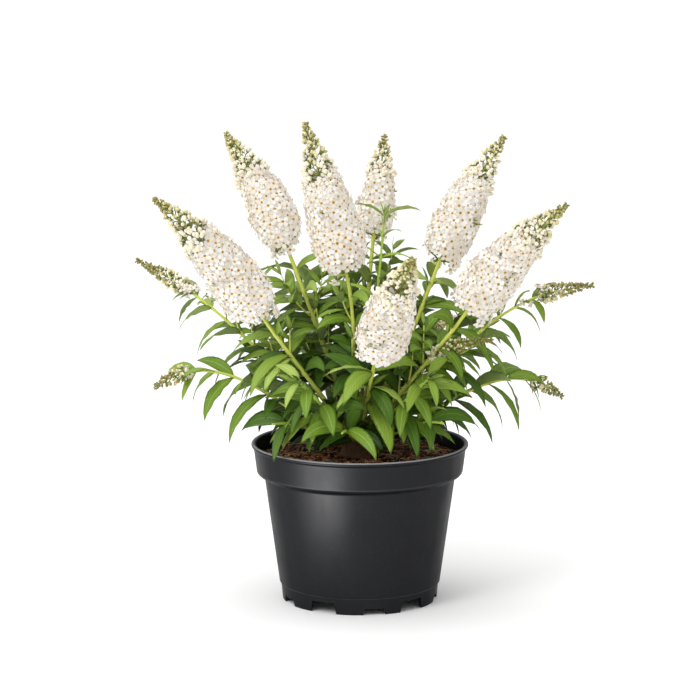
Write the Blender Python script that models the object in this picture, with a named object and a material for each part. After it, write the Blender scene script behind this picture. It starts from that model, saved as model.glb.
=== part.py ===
# Butterfly bush in a black nursery pot.
# Metres, +Z up, origin on the pot's axis at the ground, -Y towards the viewer, +X to the right.
# The pot is filled with compost, and a short woody rootstock stands in it. Each flowering shoot
# is a bough that leaves the rootstock's dome, a leafy stem on the bough's tip, and a spike of
# blossom: a long spike is a piece of its own, a short one is fused to its stem. The young shoots
# have no blossom, and their leafy stems start at the dome.

import math
import random
from collections import namedtuple

import bmesh
import bpy
from mathutils import Matrix, Vector
from mathutils.bvhtree import BVHTree

MM = 0.001
UP = Vector((0, 0, 1))
GAP = 0.3 * MM
CLEAR = 0.5 * MM
SEED = 41

# Pot: a tapered tub with a deep band and a turned lip, on a notched foot
POT_SIDES = 32
POT_HEIGHT = 144 * MM
WALL = 2 * MM
INNER_STEP = 1.4 * MM        # the inner wall turns this much higher than the outer one
LIP_RADIUS = 98.4 * MM
LIP_DEPTH = 4.6 * MM
LIP_WIDTH = 1.6 * MM         # how far the inner wall narrows into the lip
LIP_ROUND = 1 * MM
LIP_UNDERCUT = 1.2 * MM
LIP_TUCK = 0.8 * MM
SHOULDER_ROUND = 1.6 * MM
SHOULDER_DROP = 2 * MM
NECK_FLARE = 1.4 * MM
NECK_RISE = 1.7 * MM
BAND_TOP_RADIUS = 95.3 * MM
BAND_FOOT_RADIUS = 92.4 * MM
BAND_FOOT_HEIGHT = 114.6 * MM
BODY_TOP_RADIUS = 85.4 * MM
BODY_TOP_HEIGHT = 109.5 * MM
BODY_FOOT_RADIUS = 72.3 * MM
SKIRT_HEIGHT = 14.6 * MM
SKIRT_TOP_RADIUS = 71.2 * MM
SKIRT_FOOT_RADIUS = 69.8 * MM
SKIRT_WALL = 2.8 * MM
SKIRT_ROUND = 0.7 * MM
FLOOR_UNDERSIDE = 11 * MM
FLOOR_TOP = 12.6 * MM
NOTCH_COUNT = 5
DEEP_NOTCH = (-29, 21.5 * MM, 9.3 * MM)      # heading from the front, width, height
SHALLOW_NOTCH = (7, 18 * MM, 5 * MM)
NOTCH_FLARE = 1.06
DRAIN_RADIUS = 6 * MM
DRAIN_REACH = 50 * MM
DRAIN_SIDES = 12

# Compost and rootstock
SOIL_HEIGHT = 132 * MM
SOIL_SWELL = 1.8 * MM
SOIL_FLAT = 26 * MM
SOIL_RINGS = ((0.72, 1 * MM), (0.46, 0.5 * MM))     # share of the edge's radius, fall below the middle
SOIL_EDGE_FALL = 1.5 * MM
SIDE_GAP = 1.5 * GAP
STOCK_SIDES = 14
STOCK_RADIUS = 17 * MM
STOCK_CENTRE = 141 * MM
STOCK_FLARE = 23 * MM
STOCK_TOE = (19.4 * MM, 2 * MM)
STOCK_ANKLE = (17.4 * MM, 6 * MM)
STOCK_DOME = (18, 36, 54, 72)                # heights of the dome's rings, in degrees

# Shoots. The first three values say where a shoot's blossom starts, or where a shoot with none
# ends: its heading in degrees from +X, its reach from the axis and its height. The next ones
# are the blossom's heading, its lean from upright at foot and tip, its length and its radius.
Shoot = namedtuple("Shoot", "name heading reach height aim lean_foot lean_tip bloom girth")
SHOOTS = (
    Shoot("left_front", 212, 104, 270, 204, 35, 50, 144, 24.5),
    Shoot("left_tall", 160, 72, 322, 166, 22, 37, 113, 22),
    Shoot("middle_tall", 242, 28, 305, 200, 15, 17, 137, 24.5),
    Shoot("back_tall", 80, 76, 326, 61, 12, 15, 89, 17.5),
    Shoot("right_tall", 9, 74, 311, 10, 21, 35, 122, 22),
    Shoot("right_front", 335, 107, 274, 331, 36, 52, 134, 24.5),
    Shoot("front_middle", 282, 74, 238, 287, 41, 50, 138, 24),
    Shoot("back_left", 126, 117, 312, 132, 34, 48, 96, 19),
    Shoot("back_right", 48, 115, 303, 47, 36, 50, 96, 19),
    Shoot("back_middle", 96, 99, 292, 106, 35, 48, 110, 20),
    Shoot("left_back", 147, 107, 252, 142, 46, 60, 107, 21),
    Shoot("right_back", 30, 113, 258, 40, 46, 60, 100, 20),
    Shoot("far_left_high", 166, 160, 276, 164, 58, 66, 60, 7.5),
    Shoot("far_left_low", 189, 157, 212, 192, 100, 124, 36, 6.5),
    Shoot("far_right_high", 352, 163, 281, 345, 70, 82, 51, 7),
    Shoot("far_right_low", 7, 160, 196, 12, 108, 130, 34, 6.5),
    Shoot("back_right_low", 62, 146, 226, 64, 74, 92, 40, 6.5),
    Shoot("back_left_low", 112, 146, 222, 116, 74, 92, 40, 6.5),
    Shoot("young_middle", 58, 42, 346, 58, 8, 8, 0, 0),
    Shoot("young_front_left", 236, 96, 214, 230, 50, 50, 0, 0),
    Shoot("young_front_right", 309, 96, 216, 314, 50, 50, 0, 0),
    Shoot("skirt_left", 214, 94, 170, 210, 96, 96, 0, 0),
    Shoot("skirt_front", 259, 84, 168, 256, 96, 96, 0, 0),
    Shoot("skirt_right", 322, 94, 172, 328, 96, 96, 0, 0),
    Shoot("skirt_back_left", 136, 96, 170, 138, 96, 96, 0, 0),
    Shoot("skirt_back", 86, 94, 168, 84, 96, 96, 0, 0),
    Shoot("skirt_back_right", 38, 96, 172, 36, 96, 96, 0, 0),
)
LARGE_GIRTH = 12
DOME_LEAN = 78
START_ANGLE = 21
SETTLING_ROUNDS = 60

# Stems: radius at the dome, at a long spike and at a thin end, in metres
BOUGH_RADIUS = 2.6 * MM
YOUNG_RADIUS = 2 * MM
LARGE_TIP_RADIUS = 1.8 * MM
SMALL_TIP_RADIUS = 1.1 * MM
BOUGH_LENGTH = 36 * MM
BOUGH_SIDES = 6
STEM_SIDES = 5
STEM_STEP = 20 * MM
ROUTE_STEPS = 60

# Leaves stand in pairs, each pair turned a quarter from the last
PAIR_SPACING = 24 * MM
PAIR_WANDER = 0.25
FIRST_PAIR = 7 * MM
BARE_FOOT = 20 * MM
LAST_PAIR = 12 * MM
YOUNG_LAST_PAIR = 1 * MM
LEAF_LENGTH = (50 * MM, 62 * MM)
LEAF_SLIMNESS = 0.3
LEAF_THICKNESS = 1.1 * MM
LEAF_STATIONS = ((0.36, 0.5), (0.72, 0.37))
SMALL_LEAF_STATIONS = ((0.44, 0.5),)
SMALL_LEAF = 38 * MM         # a leaf shorter than this has the one station
LEAF_ROOT_DEPTH = 1.4 * MM
SMALL_LEAF_ROOT_DEPTH = 0.6 * MM
LEAF_LEVELLING = 0.6
LEAF_DROOP = (60, 100)
LEAF_STEEPEST = 82           # how far below level a leaf may end up pointing
LEAF_ANGLE = (42, 62)
TIP_LEAF_SHARE = 0.62
LEAF_TRIES = ((0, 1), (24, 1), (-24, 1), (0, 0.8), (40, 0.8), (-40, 0.8), (0, 0.65))   # turn, size
LOWEST_LEAF = 133.4 * MM
WIDEST_LEAF = 205 * MM
DEEPEST_LEAF = 166 * MM

# Short side twigs rise from some leaf roots and carry small leaves
TWIG_SHARE = 0.08
TWIG_STRETCH = (0.1, 0.85)   # the share of a stem along which twigs may rise
TWIG_LENGTH = (22 * MM, 34 * MM)
TWIG_RADIUS = 1.3 * MM
TWIG_TAPER = 0.6
TWIG_SIDES = 3
TWIG_STEPS = 3
TWIG_LIFT = 0.12
TWIG_ANGLE = 34
TWIG_LEAF_LENGTH = (26 * MM, 38 * MM)
TWIG_LEAF_PLACES = (0.55, 0.96)
TWIG_LEAF_ANGLE = (38, 56)
TWIG_LEAF_DROOP = (40, 80)

# One small spike of blossom stands on the side of a stem, from the middle of it
SideSpike = namedtuple("SideSpike", "carrier share aim lean_foot lean_tip length girth")
SIDE_SPIKE = SideSpike("right_front", 0.62, 338, 60, 86, 60, 6)

# A spike of blossom is a turned pear shape in diamond rows, each diamond drawn out to a knob
LARGE_ROWS = 9
LARGE_COLUMNS = 8
SMALL_ROWS = 6
SMALL_COLUMNS = 5
SPIKE_STEPS = 12
SPIKE_STALK = 2.5 * MM
SPIKE_SINK = 3 * MM          # how deep a short spike's foot is sunk in its stem
SPIKE_FOOT_POWER = 0.4
SPIKE_ROW_POWER = 1.25
SPIKE_ROW_END = 0.6
SPIKE_THINNEST = 1.2 * MM
FUSED_STALK_RADIUS = 0.88 * MM
KNOB_SHARE = 0.17
KNOB_LIMIT = 0.45            # of the width of its own diamond

BLACK_PLASTIC = ("black moulded plastic", "26282b", 0.42)
COMPOST = ("moist compost", "3a261b", 0.95)
WOOD = ("woody rootstock", "7a5f3d", 0.8)
GREEN_STEM = ("young green stem", "8fa838", 0.6)
GREEN_LEAF = ("leaf", "4c7d2a", 0.55)
WHITE_BLOSSOM = ("white blossom", "f1eeea", 0.7)


def clear_scene():
    for old in list(bpy.data.objects):
        bpy.data.objects.remove(old)


def linear(channel):
    """An sRGB channel from 0 to 1 as linear light."""
    return channel / 12.92 if channel <= 0.04045 else ((channel + 0.055) / 1.055) ** 2.4


def finish(words, colour, roughness):
    """A plain Principled material, made once for each finish."""
    material = bpy.data.materials.get(words)
    if material is None:
        material = bpy.data.materials.new(words)
        material.use_nodes = True
        shader = material.node_tree.nodes["Principled BSDF"]
        channels = [linear(int(colour[i:i + 2], 16) / 255) for i in (0, 2, 4)]
        shader.inputs["Base Color"].default_value = (*channels, 1)
        shader.inputs["Roughness"].default_value = roughness
        shader.inputs["Metallic"].default_value = 0
    return material


def add_object(name, mesh, look=None):
    thing = bpy.data.objects.new(name, mesh)
    bpy.context.scene.collection.objects.link(thing)
    if look:
        mesh.materials.clear()
        mesh.materials.append(finish(*look))
    return thing


def closed_mesh(name, corners, faces):
    """A mesh from corners and faces, with every face pointing out."""
    mesh = bpy.data.meshes.new(name)
    mesh.from_pydata(corners, [], faces)
    shape = bmesh.new()
    shape.from_mesh(mesh)
    bmesh.ops.recalc_face_normals(shape, faces=shape.faces)
    shape.to_mesh(mesh)
    shape.free()
    return mesh


def skin(rings):
    """Corners and faces of a closed skin over rings of points; a ring of one point is a tip."""
    corners = [tuple(point) for ring in rings for point in ring]
    faces = []
    start = 0
    for ring, following in zip(rings, rings[1:]):
        after = start + len(ring)
        count = max(len(ring), len(following))
        for i in range(count):
            j = (i + 1) % count
            if len(ring) == 1:
                faces.append((start, after + i, after + j))
            elif len(following) == 1:
                faces.append((start + i, start + j, after))
            else:
                faces.append((start + i, start + j, after + j))
                faces.append((start + i, after + j, after + i))
        start = after
    if len(rings[0]) > 1:
        faces.append(tuple(range(len(rings[0]))))
    if len(rings[-1]) > 1:
        faces.append(tuple(range(start, start + len(rings[-1]))))
    return corners, faces


def settle(thing):
    """Applies an object's modifiers."""
    graph = bpy.context.evaluated_depsgraph_get()
    mesh = bpy.data.meshes.new_from_object(thing.evaluated_get(graph))
    thing.modifiers.clear()
    thing.data = mesh


def combine(body, others, operation):
    """One exact Boolean between a body and a collection of other objects, which are then removed."""
    if not others:
        return
    heap = bpy.data.collections.new("heap")
    for other in others:
        heap.objects.link(other)
    step = body.modifiers.new("combine", "BOOLEAN")
    step.operation = operation
    step.operand_type = "COLLECTION"
    step.collection = heap
    step.solver = "EXACT"
    settle(body)
    for other in others:
        bpy.data.objects.remove(other)
    bpy.data.collections.remove(heap)


def keep_largest(thing):
    """Drops loose scraps and the skins of sealed hollows, so that one closed body is left."""
    shape = bmesh.new()
    shape.from_mesh(thing.data)
    waiting = set(shape.verts)
    bodies = []
    while waiting:
        reached = [waiting.pop()]
        for corner in reached:
            for edge in corner.link_edges:
                neighbour = edge.other_vert(corner)
                if neighbour in waiting:
                    waiting.remove(neighbour)
                    reached.append(neighbour)
        bodies.append(reached)
    bodies.sort(key=len)
    scraps = [corner for body in bodies[:-1] for corner in body]
    bmesh.ops.delete(shape, geom=scraps, context="VERTS")
    shape.to_mesh(thing.data)
    shape.free()


def soften(thing, degrees=35):
    thing.data.shade_smooth()
    thing.data.set_sharp_from_angle(angle=math.radians(degrees))


def turned(name, profile, sides, look):
    """Spins a profile of radius and height about Z. It starts and ends on the axis."""
    shape = bmesh.new()
    corners = [shape.verts.new((radius, 0, height)) for radius, height in profile]
    edges = [shape.edges.new(pair) for pair in zip(corners, corners[1:])]
    bmesh.ops.spin(shape, geom=corners + edges, cent=(0, 0, 0), axis=(0, 0, 1),
                   angle=math.tau, steps=sides, use_merge=True)
    bmesh.ops.remove_doubles(shape, verts=shape.verts, dist=0.01 * MM)
    bmesh.ops.recalc_face_normals(shape, faces=shape.faces)
    mesh = bpy.data.meshes.new(name)
    shape.to_mesh(mesh)
    shape.free()
    return add_object(name, mesh, look)


def turn_about_axis(degrees, reach, height):
    """Place at a heading from the front, which is -Y, towards +X."""
    angle = math.radians(degrees)
    spot = Vector((math.sin(angle) * reach, -math.cos(angle) * reach, height))
    return Matrix.Translation(spot) @ Matrix.Rotation(angle, 4, "Z")


def wall_inside(radius):
    return radius - WALL


def build_pot():
    lip_foot = POT_HEIGHT - LIP_DEPTH
    inner_band_top = wall_inside(BAND_TOP_RADIUS)
    profile = (
        (0, FLOOR_TOP),
        (wall_inside(BODY_FOOT_RADIUS), FLOOR_TOP),
        (wall_inside(BODY_TOP_RADIUS), BODY_TOP_HEIGHT + INNER_STEP),
        (wall_inside(BAND_FOOT_RADIUS), BAND_FOOT_HEIGHT + INNER_STEP),
        (inner_band_top, lip_foot),
        (inner_band_top + LIP_WIDTH, POT_HEIGHT),
        (LIP_RADIUS - LIP_ROUND, POT_HEIGHT),
        (LIP_RADIUS, POT_HEIGHT - LIP_ROUND),
        (LIP_RADIUS, lip_foot + LIP_UNDERCUT),
        (LIP_RADIUS - LIP_UNDERCUT, lip_foot),
        (BAND_TOP_RADIUS, lip_foot - LIP_TUCK),
        (BAND_FOOT_RADIUS, BAND_FOOT_HEIGHT),
        (BAND_FOOT_RADIUS - SHOULDER_ROUND, BAND_FOOT_HEIGHT - SHOULDER_DROP),
        (BODY_TOP_RADIUS + NECK_FLARE, BODY_TOP_HEIGHT + NECK_RISE),
        (BODY_TOP_RADIUS, BODY_TOP_HEIGHT),
        (BODY_FOOT_RADIUS, SKIRT_HEIGHT + SKIRT_ROUND),
        (SKIRT_TOP_RADIUS, SKIRT_HEIGHT),
        (SKIRT_FOOT_RADIUS, 0),
        (SKIRT_FOOT_RADIUS - SKIRT_WALL, 0),
        (SKIRT_FOOT_RADIUS - SKIRT_WALL, FLOOR_UNDERSIDE),
        (0, FLOOR_UNDERSIDE),
    )
    pot = turned("pot", profile, POT_SIDES, BLACK_PLASTIC)
    cutters = []
    for first, width, height in (DEEP_NOTCH, SHALLOW_NOTCH):
        for k in range(NOTCH_COUNT):
            place = turn_about_axis(first + 360 * k / NOTCH_COUNT, SKIRT_FOOT_RADIUS, 0)
            cutters.append(notch_cutter(place, width, height))
    for k in range(NOTCH_COUNT):
        place = turn_about_axis(DEEP_NOTCH[0] + 360 * k / NOTCH_COUNT, DRAIN_REACH, FLOOR_TOP)
        cutters.append(drain_cutter(place))
    combine(pot, cutters, "DIFFERENCE")
    soften(pot)
    return pot


def notch_cutter(place, width, height):
    """A block through the foot, a little wider at the ground."""
    reach = 4 * SKIRT_WALL
    shape = bmesh.new()
    bmesh.ops.create_cube(shape, size=1)
    for corner in shape.verts:
        low = corner.co.z < 0
        corner.co.x *= width * (NOTCH_FLARE if low else 1)
        corner.co.y *= reach
        corner.co.z = -SKIRT_WALL if low else height
    mesh = bpy.data.meshes.new("notch")
    shape.transform(place)
    shape.to_mesh(mesh)
    shape.free()
    return add_object("notch", mesh)


def drain_cutter(place):
    shape = bmesh.new()
    bmesh.ops.create_cone(shape, cap_ends=True, segments=DRAIN_SIDES, radius1=DRAIN_RADIUS,
                          radius2=DRAIN_RADIUS, depth=6 * WALL, matrix=place)
    mesh = bpy.data.meshes.new("drain")
    shape.to_mesh(mesh)
    shape.free()
    return add_object("drain", mesh)


def inner_radius(height):
    """The pot's inner radius beside the band."""
    foot = wall_inside(BAND_FOOT_RADIUS)
    rise = (wall_inside(BAND_TOP_RADIUS) - foot) / (POT_HEIGHT - LIP_DEPTH - BAND_FOOT_HEIGHT)
    return foot + rise * (height - BAND_FOOT_HEIGHT - INNER_STEP)


def build_compost():
    """Fills the pot to just under the band's top, with a gently uneven surface."""
    edge = inner_radius(SOIL_HEIGHT) - GAP
    profile = (
        (0, FLOOR_TOP + GAP),
        (wall_inside(BODY_FOOT_RADIUS) - SIDE_GAP, FLOOR_TOP + GAP),
        (wall_inside(BODY_TOP_RADIUS) - SIDE_GAP, BODY_TOP_HEIGHT + INNER_STEP + GAP),
        (wall_inside(BAND_FOOT_RADIUS) - SIDE_GAP, BAND_FOOT_HEIGHT + INNER_STEP + GAP),
        (edge, SOIL_HEIGHT - SOIL_EDGE_FALL),
        *((share * edge, SOIL_HEIGHT - fall) for share, fall in SOIL_RINGS),
        (SOIL_FLAT, SOIL_HEIGHT),
        (0, SOIL_HEIGHT),
    )
    compost = turned("compost", profile, POT_SIDES, COMPOST)
    rng = random.Random(SEED)
    for corner in compost.data.vertices:
        reach = math.hypot(corner.co.x, corner.co.y)
        on_top = corner.co.z > SOIL_HEIGHT - SOIL_EDGE_FALL - 0.5 * MM
        if on_top and SOIL_FLAT + 1 * MM < reach < edge - 1 * MM:
            corner.co.z -= rng.random() * SOIL_SWELL
    return compost


def build_rootstock():
    """A short woody stump: cut flat at the compost, flared at its root, domed on top."""
    foot = SOIL_HEIGHT + GAP
    profile = [(0, foot), (STOCK_FLARE, foot)]
    profile += [(radius, foot + height) for radius, height in (STOCK_TOE, STOCK_ANKLE)]
    profile.append((STOCK_RADIUS, STOCK_CENTRE))
    for degrees in STOCK_DOME:
        angle = math.radians(degrees)
        profile.append((STOCK_RADIUS * math.cos(angle), STOCK_CENTRE + STOCK_RADIUS * math.sin(angle)))
    profile.append((0, STOCK_CENTRE + STOCK_RADIUS))
    stock = turned("rootstock", profile, STOCK_SIDES, WOOD)
    soften(stock)
    return stock


def pointing(heading, lean):
    """Unit vector at a heading from +X and a lean from upright, in degrees."""
    flat = math.sin(math.radians(lean))
    return Vector((flat * math.cos(math.radians(heading)), flat * math.sin(math.radians(heading)),
                   math.cos(math.radians(lean))))


class Route:
    """A smooth centre line, measured along its length, with a side vector for its rings."""

    def __init__(self, points, side):
        self.points = points
        self.side = side
        self.marks = [0.0]
        for here, there in zip(points, points[1:]):
            self.marks.append(self.marks[-1] + (there - here).length)
        self.length = self.marks[-1]

    def place(self, distance):
        """Point and direction at a distance; past an end the line runs on straight."""
        last = len(self.points) - 2
        i = next((i for i in range(last) if self.marks[i + 1] > distance), last)
        direction = (self.points[i + 1] - self.points[i]).normalized()
        return self.points[i] + direction * (distance - self.marks[i]), direction

    def spoke(self, distance, angle):
        """Unit vector square to the line at a distance, at an angle from its side vector."""
        direction = self.place(distance)[1]
        across = (self.side - direction * direction.dot(self.side)).normalized()
        return across * math.cos(angle) + direction.cross(across) * math.sin(angle)

    def ring(self, distance, radius, count, turn=0.0):
        centre = self.place(distance)[0]
        angles = [turn + math.tau * i / count for i in range(count)]
        return [centre + self.spoke(distance, angle) * radius for angle in angles]


def side_of(heading):
    """The level vector square to a heading."""
    return Vector((-math.sin(math.radians(heading)), math.cos(math.radians(heading)), 0))


def shoot_foot(shoot):
    """Where the shoot's blossom starts, or where a shoot without one ends."""
    angle = math.radians(shoot.heading)
    return Vector((shoot.reach * math.cos(angle), shoot.reach * math.sin(angle), shoot.height)) * MM


def start_directions():
    """One direction from the dome's centre for each shoot, pushed apart until none crowd."""
    centre = Vector((0, 0, STOCK_CENTRE))
    ways = [(shoot_foot(shoot) - centre).normalized() for shoot in SHOOTS]
    apart = math.radians(START_ANGLE)
    lowest = math.cos(math.radians(DOME_LEAN))
    for _ in range(SETTLING_ROUNDS):
        for i, way in enumerate(ways):
            for j in range(i):
                angle = ways[i].angle(ways[j])
                if angle < apart:
                    push = (ways[i] - ways[j]).normalized() * math.sin((apart - angle) / 2)
                    ways[i] = (ways[i] + push).normalized()
                    ways[j] = (ways[j] - push).normalized()
        for way in ways:
            way.z = max(way.z, lowest)
            way.normalize()
    return ways


def stem_route(shoot, way):
    """A smooth curve that leaves the dome square to it and meets the blossom in its direction."""
    start = Vector((0, 0, STOCK_CENTRE)) + way * (STOCK_RADIUS + GAP)
    end = shoot_foot(shoot)
    pull = (end - start).length
    away = way * pull
    arrive = pointing(shoot.aim, shoot.lean_foot) * pull
    points = []
    for i in range(ROUTE_STEPS + 1):
        t = i / ROUTE_STEPS
        points.append(start * (2 * t ** 3 - 3 * t ** 2 + 1) + away * (t ** 3 - 2 * t ** 2 + t)
                      + end * (3 * t ** 2 - 2 * t ** 3) + arrive * (t ** 3 - t ** 2))
    return Route(points, side_of(shoot.heading))


def spike_route(start, aim, lean_foot, lean_tip, length):
    """The blossom's centre line, which leans over more and more towards its tip."""
    points = [start.copy()]
    for i in range(SPIKE_STEPS):
        lean = lean_foot + (lean_tip - lean_foot) * (i + 0.5) / SPIKE_STEPS
        points.append(points[-1] + pointing(aim, lean) * (length / SPIKE_STEPS))
    return Route(points, side_of(aim))


def stem_radius(shoot, share):
    """A stem tapers from the dome to its tip; share runs from 0 to 1 along it."""
    foot = BOUGH_RADIUS if shoot.bloom else YOUNG_RADIUS
    tip = LARGE_TIP_RADIUS if shoot.girth > LARGE_GIRTH else SMALL_TIP_RADIUS
    return foot + (tip - foot) * share


def limb(mass, first, last, sides):
    """Rings of a tapering limb between two distances along a shoot's route."""
    route = mass.route
    count = max(1, round((last - first) / STEM_STEP))
    distances = [first + (last - first) * i / count for i in range(count + 1)]
    return [route.ring(distance, stem_radius(mass.shoot, distance / route.length), sides)
            for distance in distances]


def spike_mesh(name, route, girth, rows, columns, stalk_radius):
    """Diamond rows round the centre line, widest low down, each diamond raised to a knob."""
    length = route.length
    widest = SPIKE_FOOT_POWER / (SPIKE_FOOT_POWER + 1)
    scale = girth / (widest ** SPIKE_FOOT_POWER * (1 - widest)) * (1 - KNOB_SHARE)
    rings = [route.ring(0, stalk_radius, columns)]
    for row in range(1, rows + 1):
        share = (row / (rows + SPIKE_ROW_END)) ** SPIKE_ROW_POWER
        radius = max(scale * share ** SPIKE_FOOT_POWER * (1 - share), SPIKE_THINNEST)
        distance = SPIKE_STALK + share * (length - SPIKE_STALK)
        rings.append(route.ring(distance, radius, columns, math.pi / columns * (row % 2)))
    shape = bmesh.new()
    lattice = [[shape.verts.new(point) for point in ring] for ring in rings]
    tip = shape.verts.new(route.place(length)[0])
    shape.faces.new(reversed(lattice[0]))
    knobs = []
    for row in range(1, rows):
        for i in range(columns):
            shift = 1 if row % 2 else 0
            here, beside = lattice[row][i], lattice[row][(i + 1) % columns]
            low = lattice[row - 1][(i + shift) % columns]
            high = lattice[row + 1][(i + shift) % columns]
            knobs.append(shape.faces.new((low, beside, high, here)))
    for i in range(columns):
        shape.faces.new((lattice[0][i], lattice[0][(i + 1) % columns], lattice[1][i]))
        shape.faces.new((lattice[rows][i], lattice[rows][(i + 1) % columns], tip))
        if rows % 2:
            shape.faces.new((lattice[rows][i], lattice[rows][(i + 1) % columns],
                             lattice[rows - 1][(i + 1) % columns]))
        else:
            shape.faces.new((lattice[rows][i], lattice[rows][(i + 1) % columns],
                             lattice[rows - 1][i]))
    bmesh.ops.recalc_face_normals(shape, faces=shape.faces)
    for face in knobs:
        centre = face.calc_center_median()
        size = math.sqrt(face.calc_area())
        bmesh.ops.poke(shape, faces=[face], offset=min(KNOB_SHARE * girth, KNOB_LIMIT * size))
    mesh = bpy.data.meshes.new(name)
    shape.to_mesh(mesh)
    shape.free()
    return mesh


def leaf_rings(root, start, across, length, droop, margin=0.0):
    """A lance-shaped leaf with a keel, bending down from its start; margin fattens it all round."""
    small = length < SMALL_LEAF
    stations = SMALL_LEAF_STATIONS if small else LEAF_STATIONS
    level = start.cross(UP)
    if level.length < 0.05:
        level = across.copy()
    level.normalize()
    side = (across * (1 - LEAF_LEVELLING) + level * LEAF_LEVELLING).normalized()
    rise = math.asin(max(-1, min(1, start.z)))
    bend = min(droop, rise + math.radians(LEAF_STEEPEST))
    spot = root - start * (SMALL_LEAF_ROOT_DEPTH if small else LEAF_ROOT_DEPTH)
    rings = [[spot]]
    before = 0
    for share, half_width in (*stations, (1, 0)):
        middle = (share + before) / 2
        direction = Matrix.Rotation(-bend * middle, 3, level) @ start
        spot = spot + direction * (length * (share - before))
        edge = (side - direction * direction.dot(side)).normalized()
        face = edge.cross(direction)
        out = edge * (half_width * length * LEAF_SLIMNESS + margin)
        lift = face * margin
        keel = spot - face * LEAF_THICKNESS - lift
        if not half_width:
            rings.append([spot + direction * margin])
        elif margin:
            rings.append([spot + out + lift, spot - out + lift, spot - out - lift, keel,
                          spot + out - lift])
        else:
            rings.append([spot + out, spot - out, keel])
        before = share
    return rings


class Crown:
    """All that grows, with a search tree for each piece, so that no two pieces touch."""

    def __init__(self):
        self.solids = {}

    def measure(self, corners, faces):
        """A search tree in millimetres, with the centre and radius of a ball round the piece."""
        points = [Vector(corner) / MM for corner in corners]
        middle = sum(points, Vector()) / len(points)
        radius = max((point - middle).length for point in points)
        return BVHTree.FromPolygons(points, faces), middle, radius

    def add(self, node, corners, faces):
        self.solids.setdefault(node, []).append(self.measure(corners, faces))

    def touches(self, node, rings):
        """Whether a new piece of a node would touch any other node's pieces."""
        tree, middle, radius = self.measure(*skin(rings))
        for other, solids in self.solids.items():
            if other == node:
                continue
            for other_tree, other_middle, other_radius in solids:
                near = (other_middle - middle).length < radius + other_radius
                if near and tree.overlap(other_tree):
                    return True
        return False


def within_reach(rings):
    """Whether a leaf stays above the compost and inside the plant's own spread."""
    points = [point for ring in rings for point in ring]
    return all(point.z > LOWEST_LEAF and abs(point.x) < WIDEST_LEAF and abs(point.y) < DEEPEST_LEAF
               for point in points)


class Mass:
    """One leafy stem: its route, its stretch of that route, and what is fused to it."""

    def __init__(self, shoot, route, number):
        self.shoot = shoot
        self.route = route
        self.node = shoot.name + "_leaves"
        self.rng = random.Random(SEED * 100 + number)
        self.first = BOUGH_LENGTH if shoot.bloom else 0
        self.parts = []
        self.last_pair = LAST_PAIR if shoot.bloom else YOUNG_LAST_PAIR
        bare = self.first + FIRST_PAIR if shoot.bloom else BARE_FOOT
        usable = route.length - bare - self.last_pair
        self.pairs = 1 + int(usable / PAIR_SPACING)
        self.quarter = self.rng.random() * math.pi

    def grow_pair(self, rank, crown):
        """Adds one pair of leaves, counted from the blossom down, and perhaps a twig."""
        distance = self.route.length - self.last_pair - rank * PAIR_SPACING
        share = (distance - self.first) / (self.route.length - self.first)
        turn = self.quarter + rank * math.pi / 2 + self.rng.uniform(-PAIR_WANDER, PAIR_WANDER)
        for half in (0, math.pi):
            length = self.rng.uniform(*LEAF_LENGTH) * (1 - (1 - TIP_LEAF_SHARE) * share ** 4)
            angle = math.radians(self.rng.uniform(*LEAF_ANGLE))
            droop = math.radians(self.rng.uniform(*LEAF_DROOP))
            wants_twig = self.rng.random() < TWIG_SHARE and TWIG_STRETCH[0] < share < TWIG_STRETCH[1]
            self.grow_leaf(self.route, distance, turn + half, angle, length, droop, crown)
            if wants_twig:
                self.grow_twig(distance, turn + half, crown)

    def grow_leaf(self, route, distance, turn, angle, length, droop, crown):
        root, along = route.place(distance)
        for extra, size in LEAF_TRIES:
            spoke = route.spoke(distance, turn + math.radians(extra))
            start = along * math.cos(angle) + spoke * math.sin(angle)
            across = spoke.cross(along)
            trial = leaf_rings(root, start, across, length * size, droop * size, CLEAR)
            if within_reach(trial) and not crown.touches(self.node, trial):
                shape = skin(leaf_rings(root, start, across, length * size, droop * size))
                self.parts.append(shape)
                crown.add(self.node, *shape)
                return

    def grow_twig(self, distance, turn, crown):
        root, along = self.route.place(distance)
        spoke = self.route.spoke(distance, turn)
        lean = math.radians(TWIG_ANGLE)
        start = along * math.cos(lean) + spoke * math.sin(lean)
        length = self.rng.uniform(*TWIG_LENGTH)
        points = [root]
        for _ in range(TWIG_STEPS):
            start = (start + UP * TWIG_LIFT).normalized()
            points.append(points[-1] + start * (length / TWIG_STEPS))
        twig = Route(points, spoke.cross(along))
        rings = [twig.ring(0, TWIG_RADIUS, TWIG_SIDES),
                 twig.ring(length, TWIG_TAPER * TWIG_RADIUS, TWIG_SIDES)]
        fat = [twig.ring(0, TWIG_RADIUS + CLEAR, TWIG_SIDES),
               twig.ring(length + CLEAR, TWIG_RADIUS, TWIG_SIDES)]
        leaves = []
        for i, place in enumerate(TWIG_LEAF_PLACES):
            for half in (0, math.pi):
                leaves.append((place * length, i * math.pi / 2 + half,
                               math.radians(self.rng.uniform(*TWIG_LEAF_ANGLE)),
                               self.rng.uniform(*TWIG_LEAF_LENGTH),
                               math.radians(self.rng.uniform(*TWIG_LEAF_DROOP))))
        if crown.touches(self.node, fat):
            return
        shape = skin(rings)
        self.parts.append(shape)
        crown.add(self.node, *shape)
        for place, side, angle, size, droop in leaves:
            self.grow_leaf(twig, place, side, angle, size, droop, crown)


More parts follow.
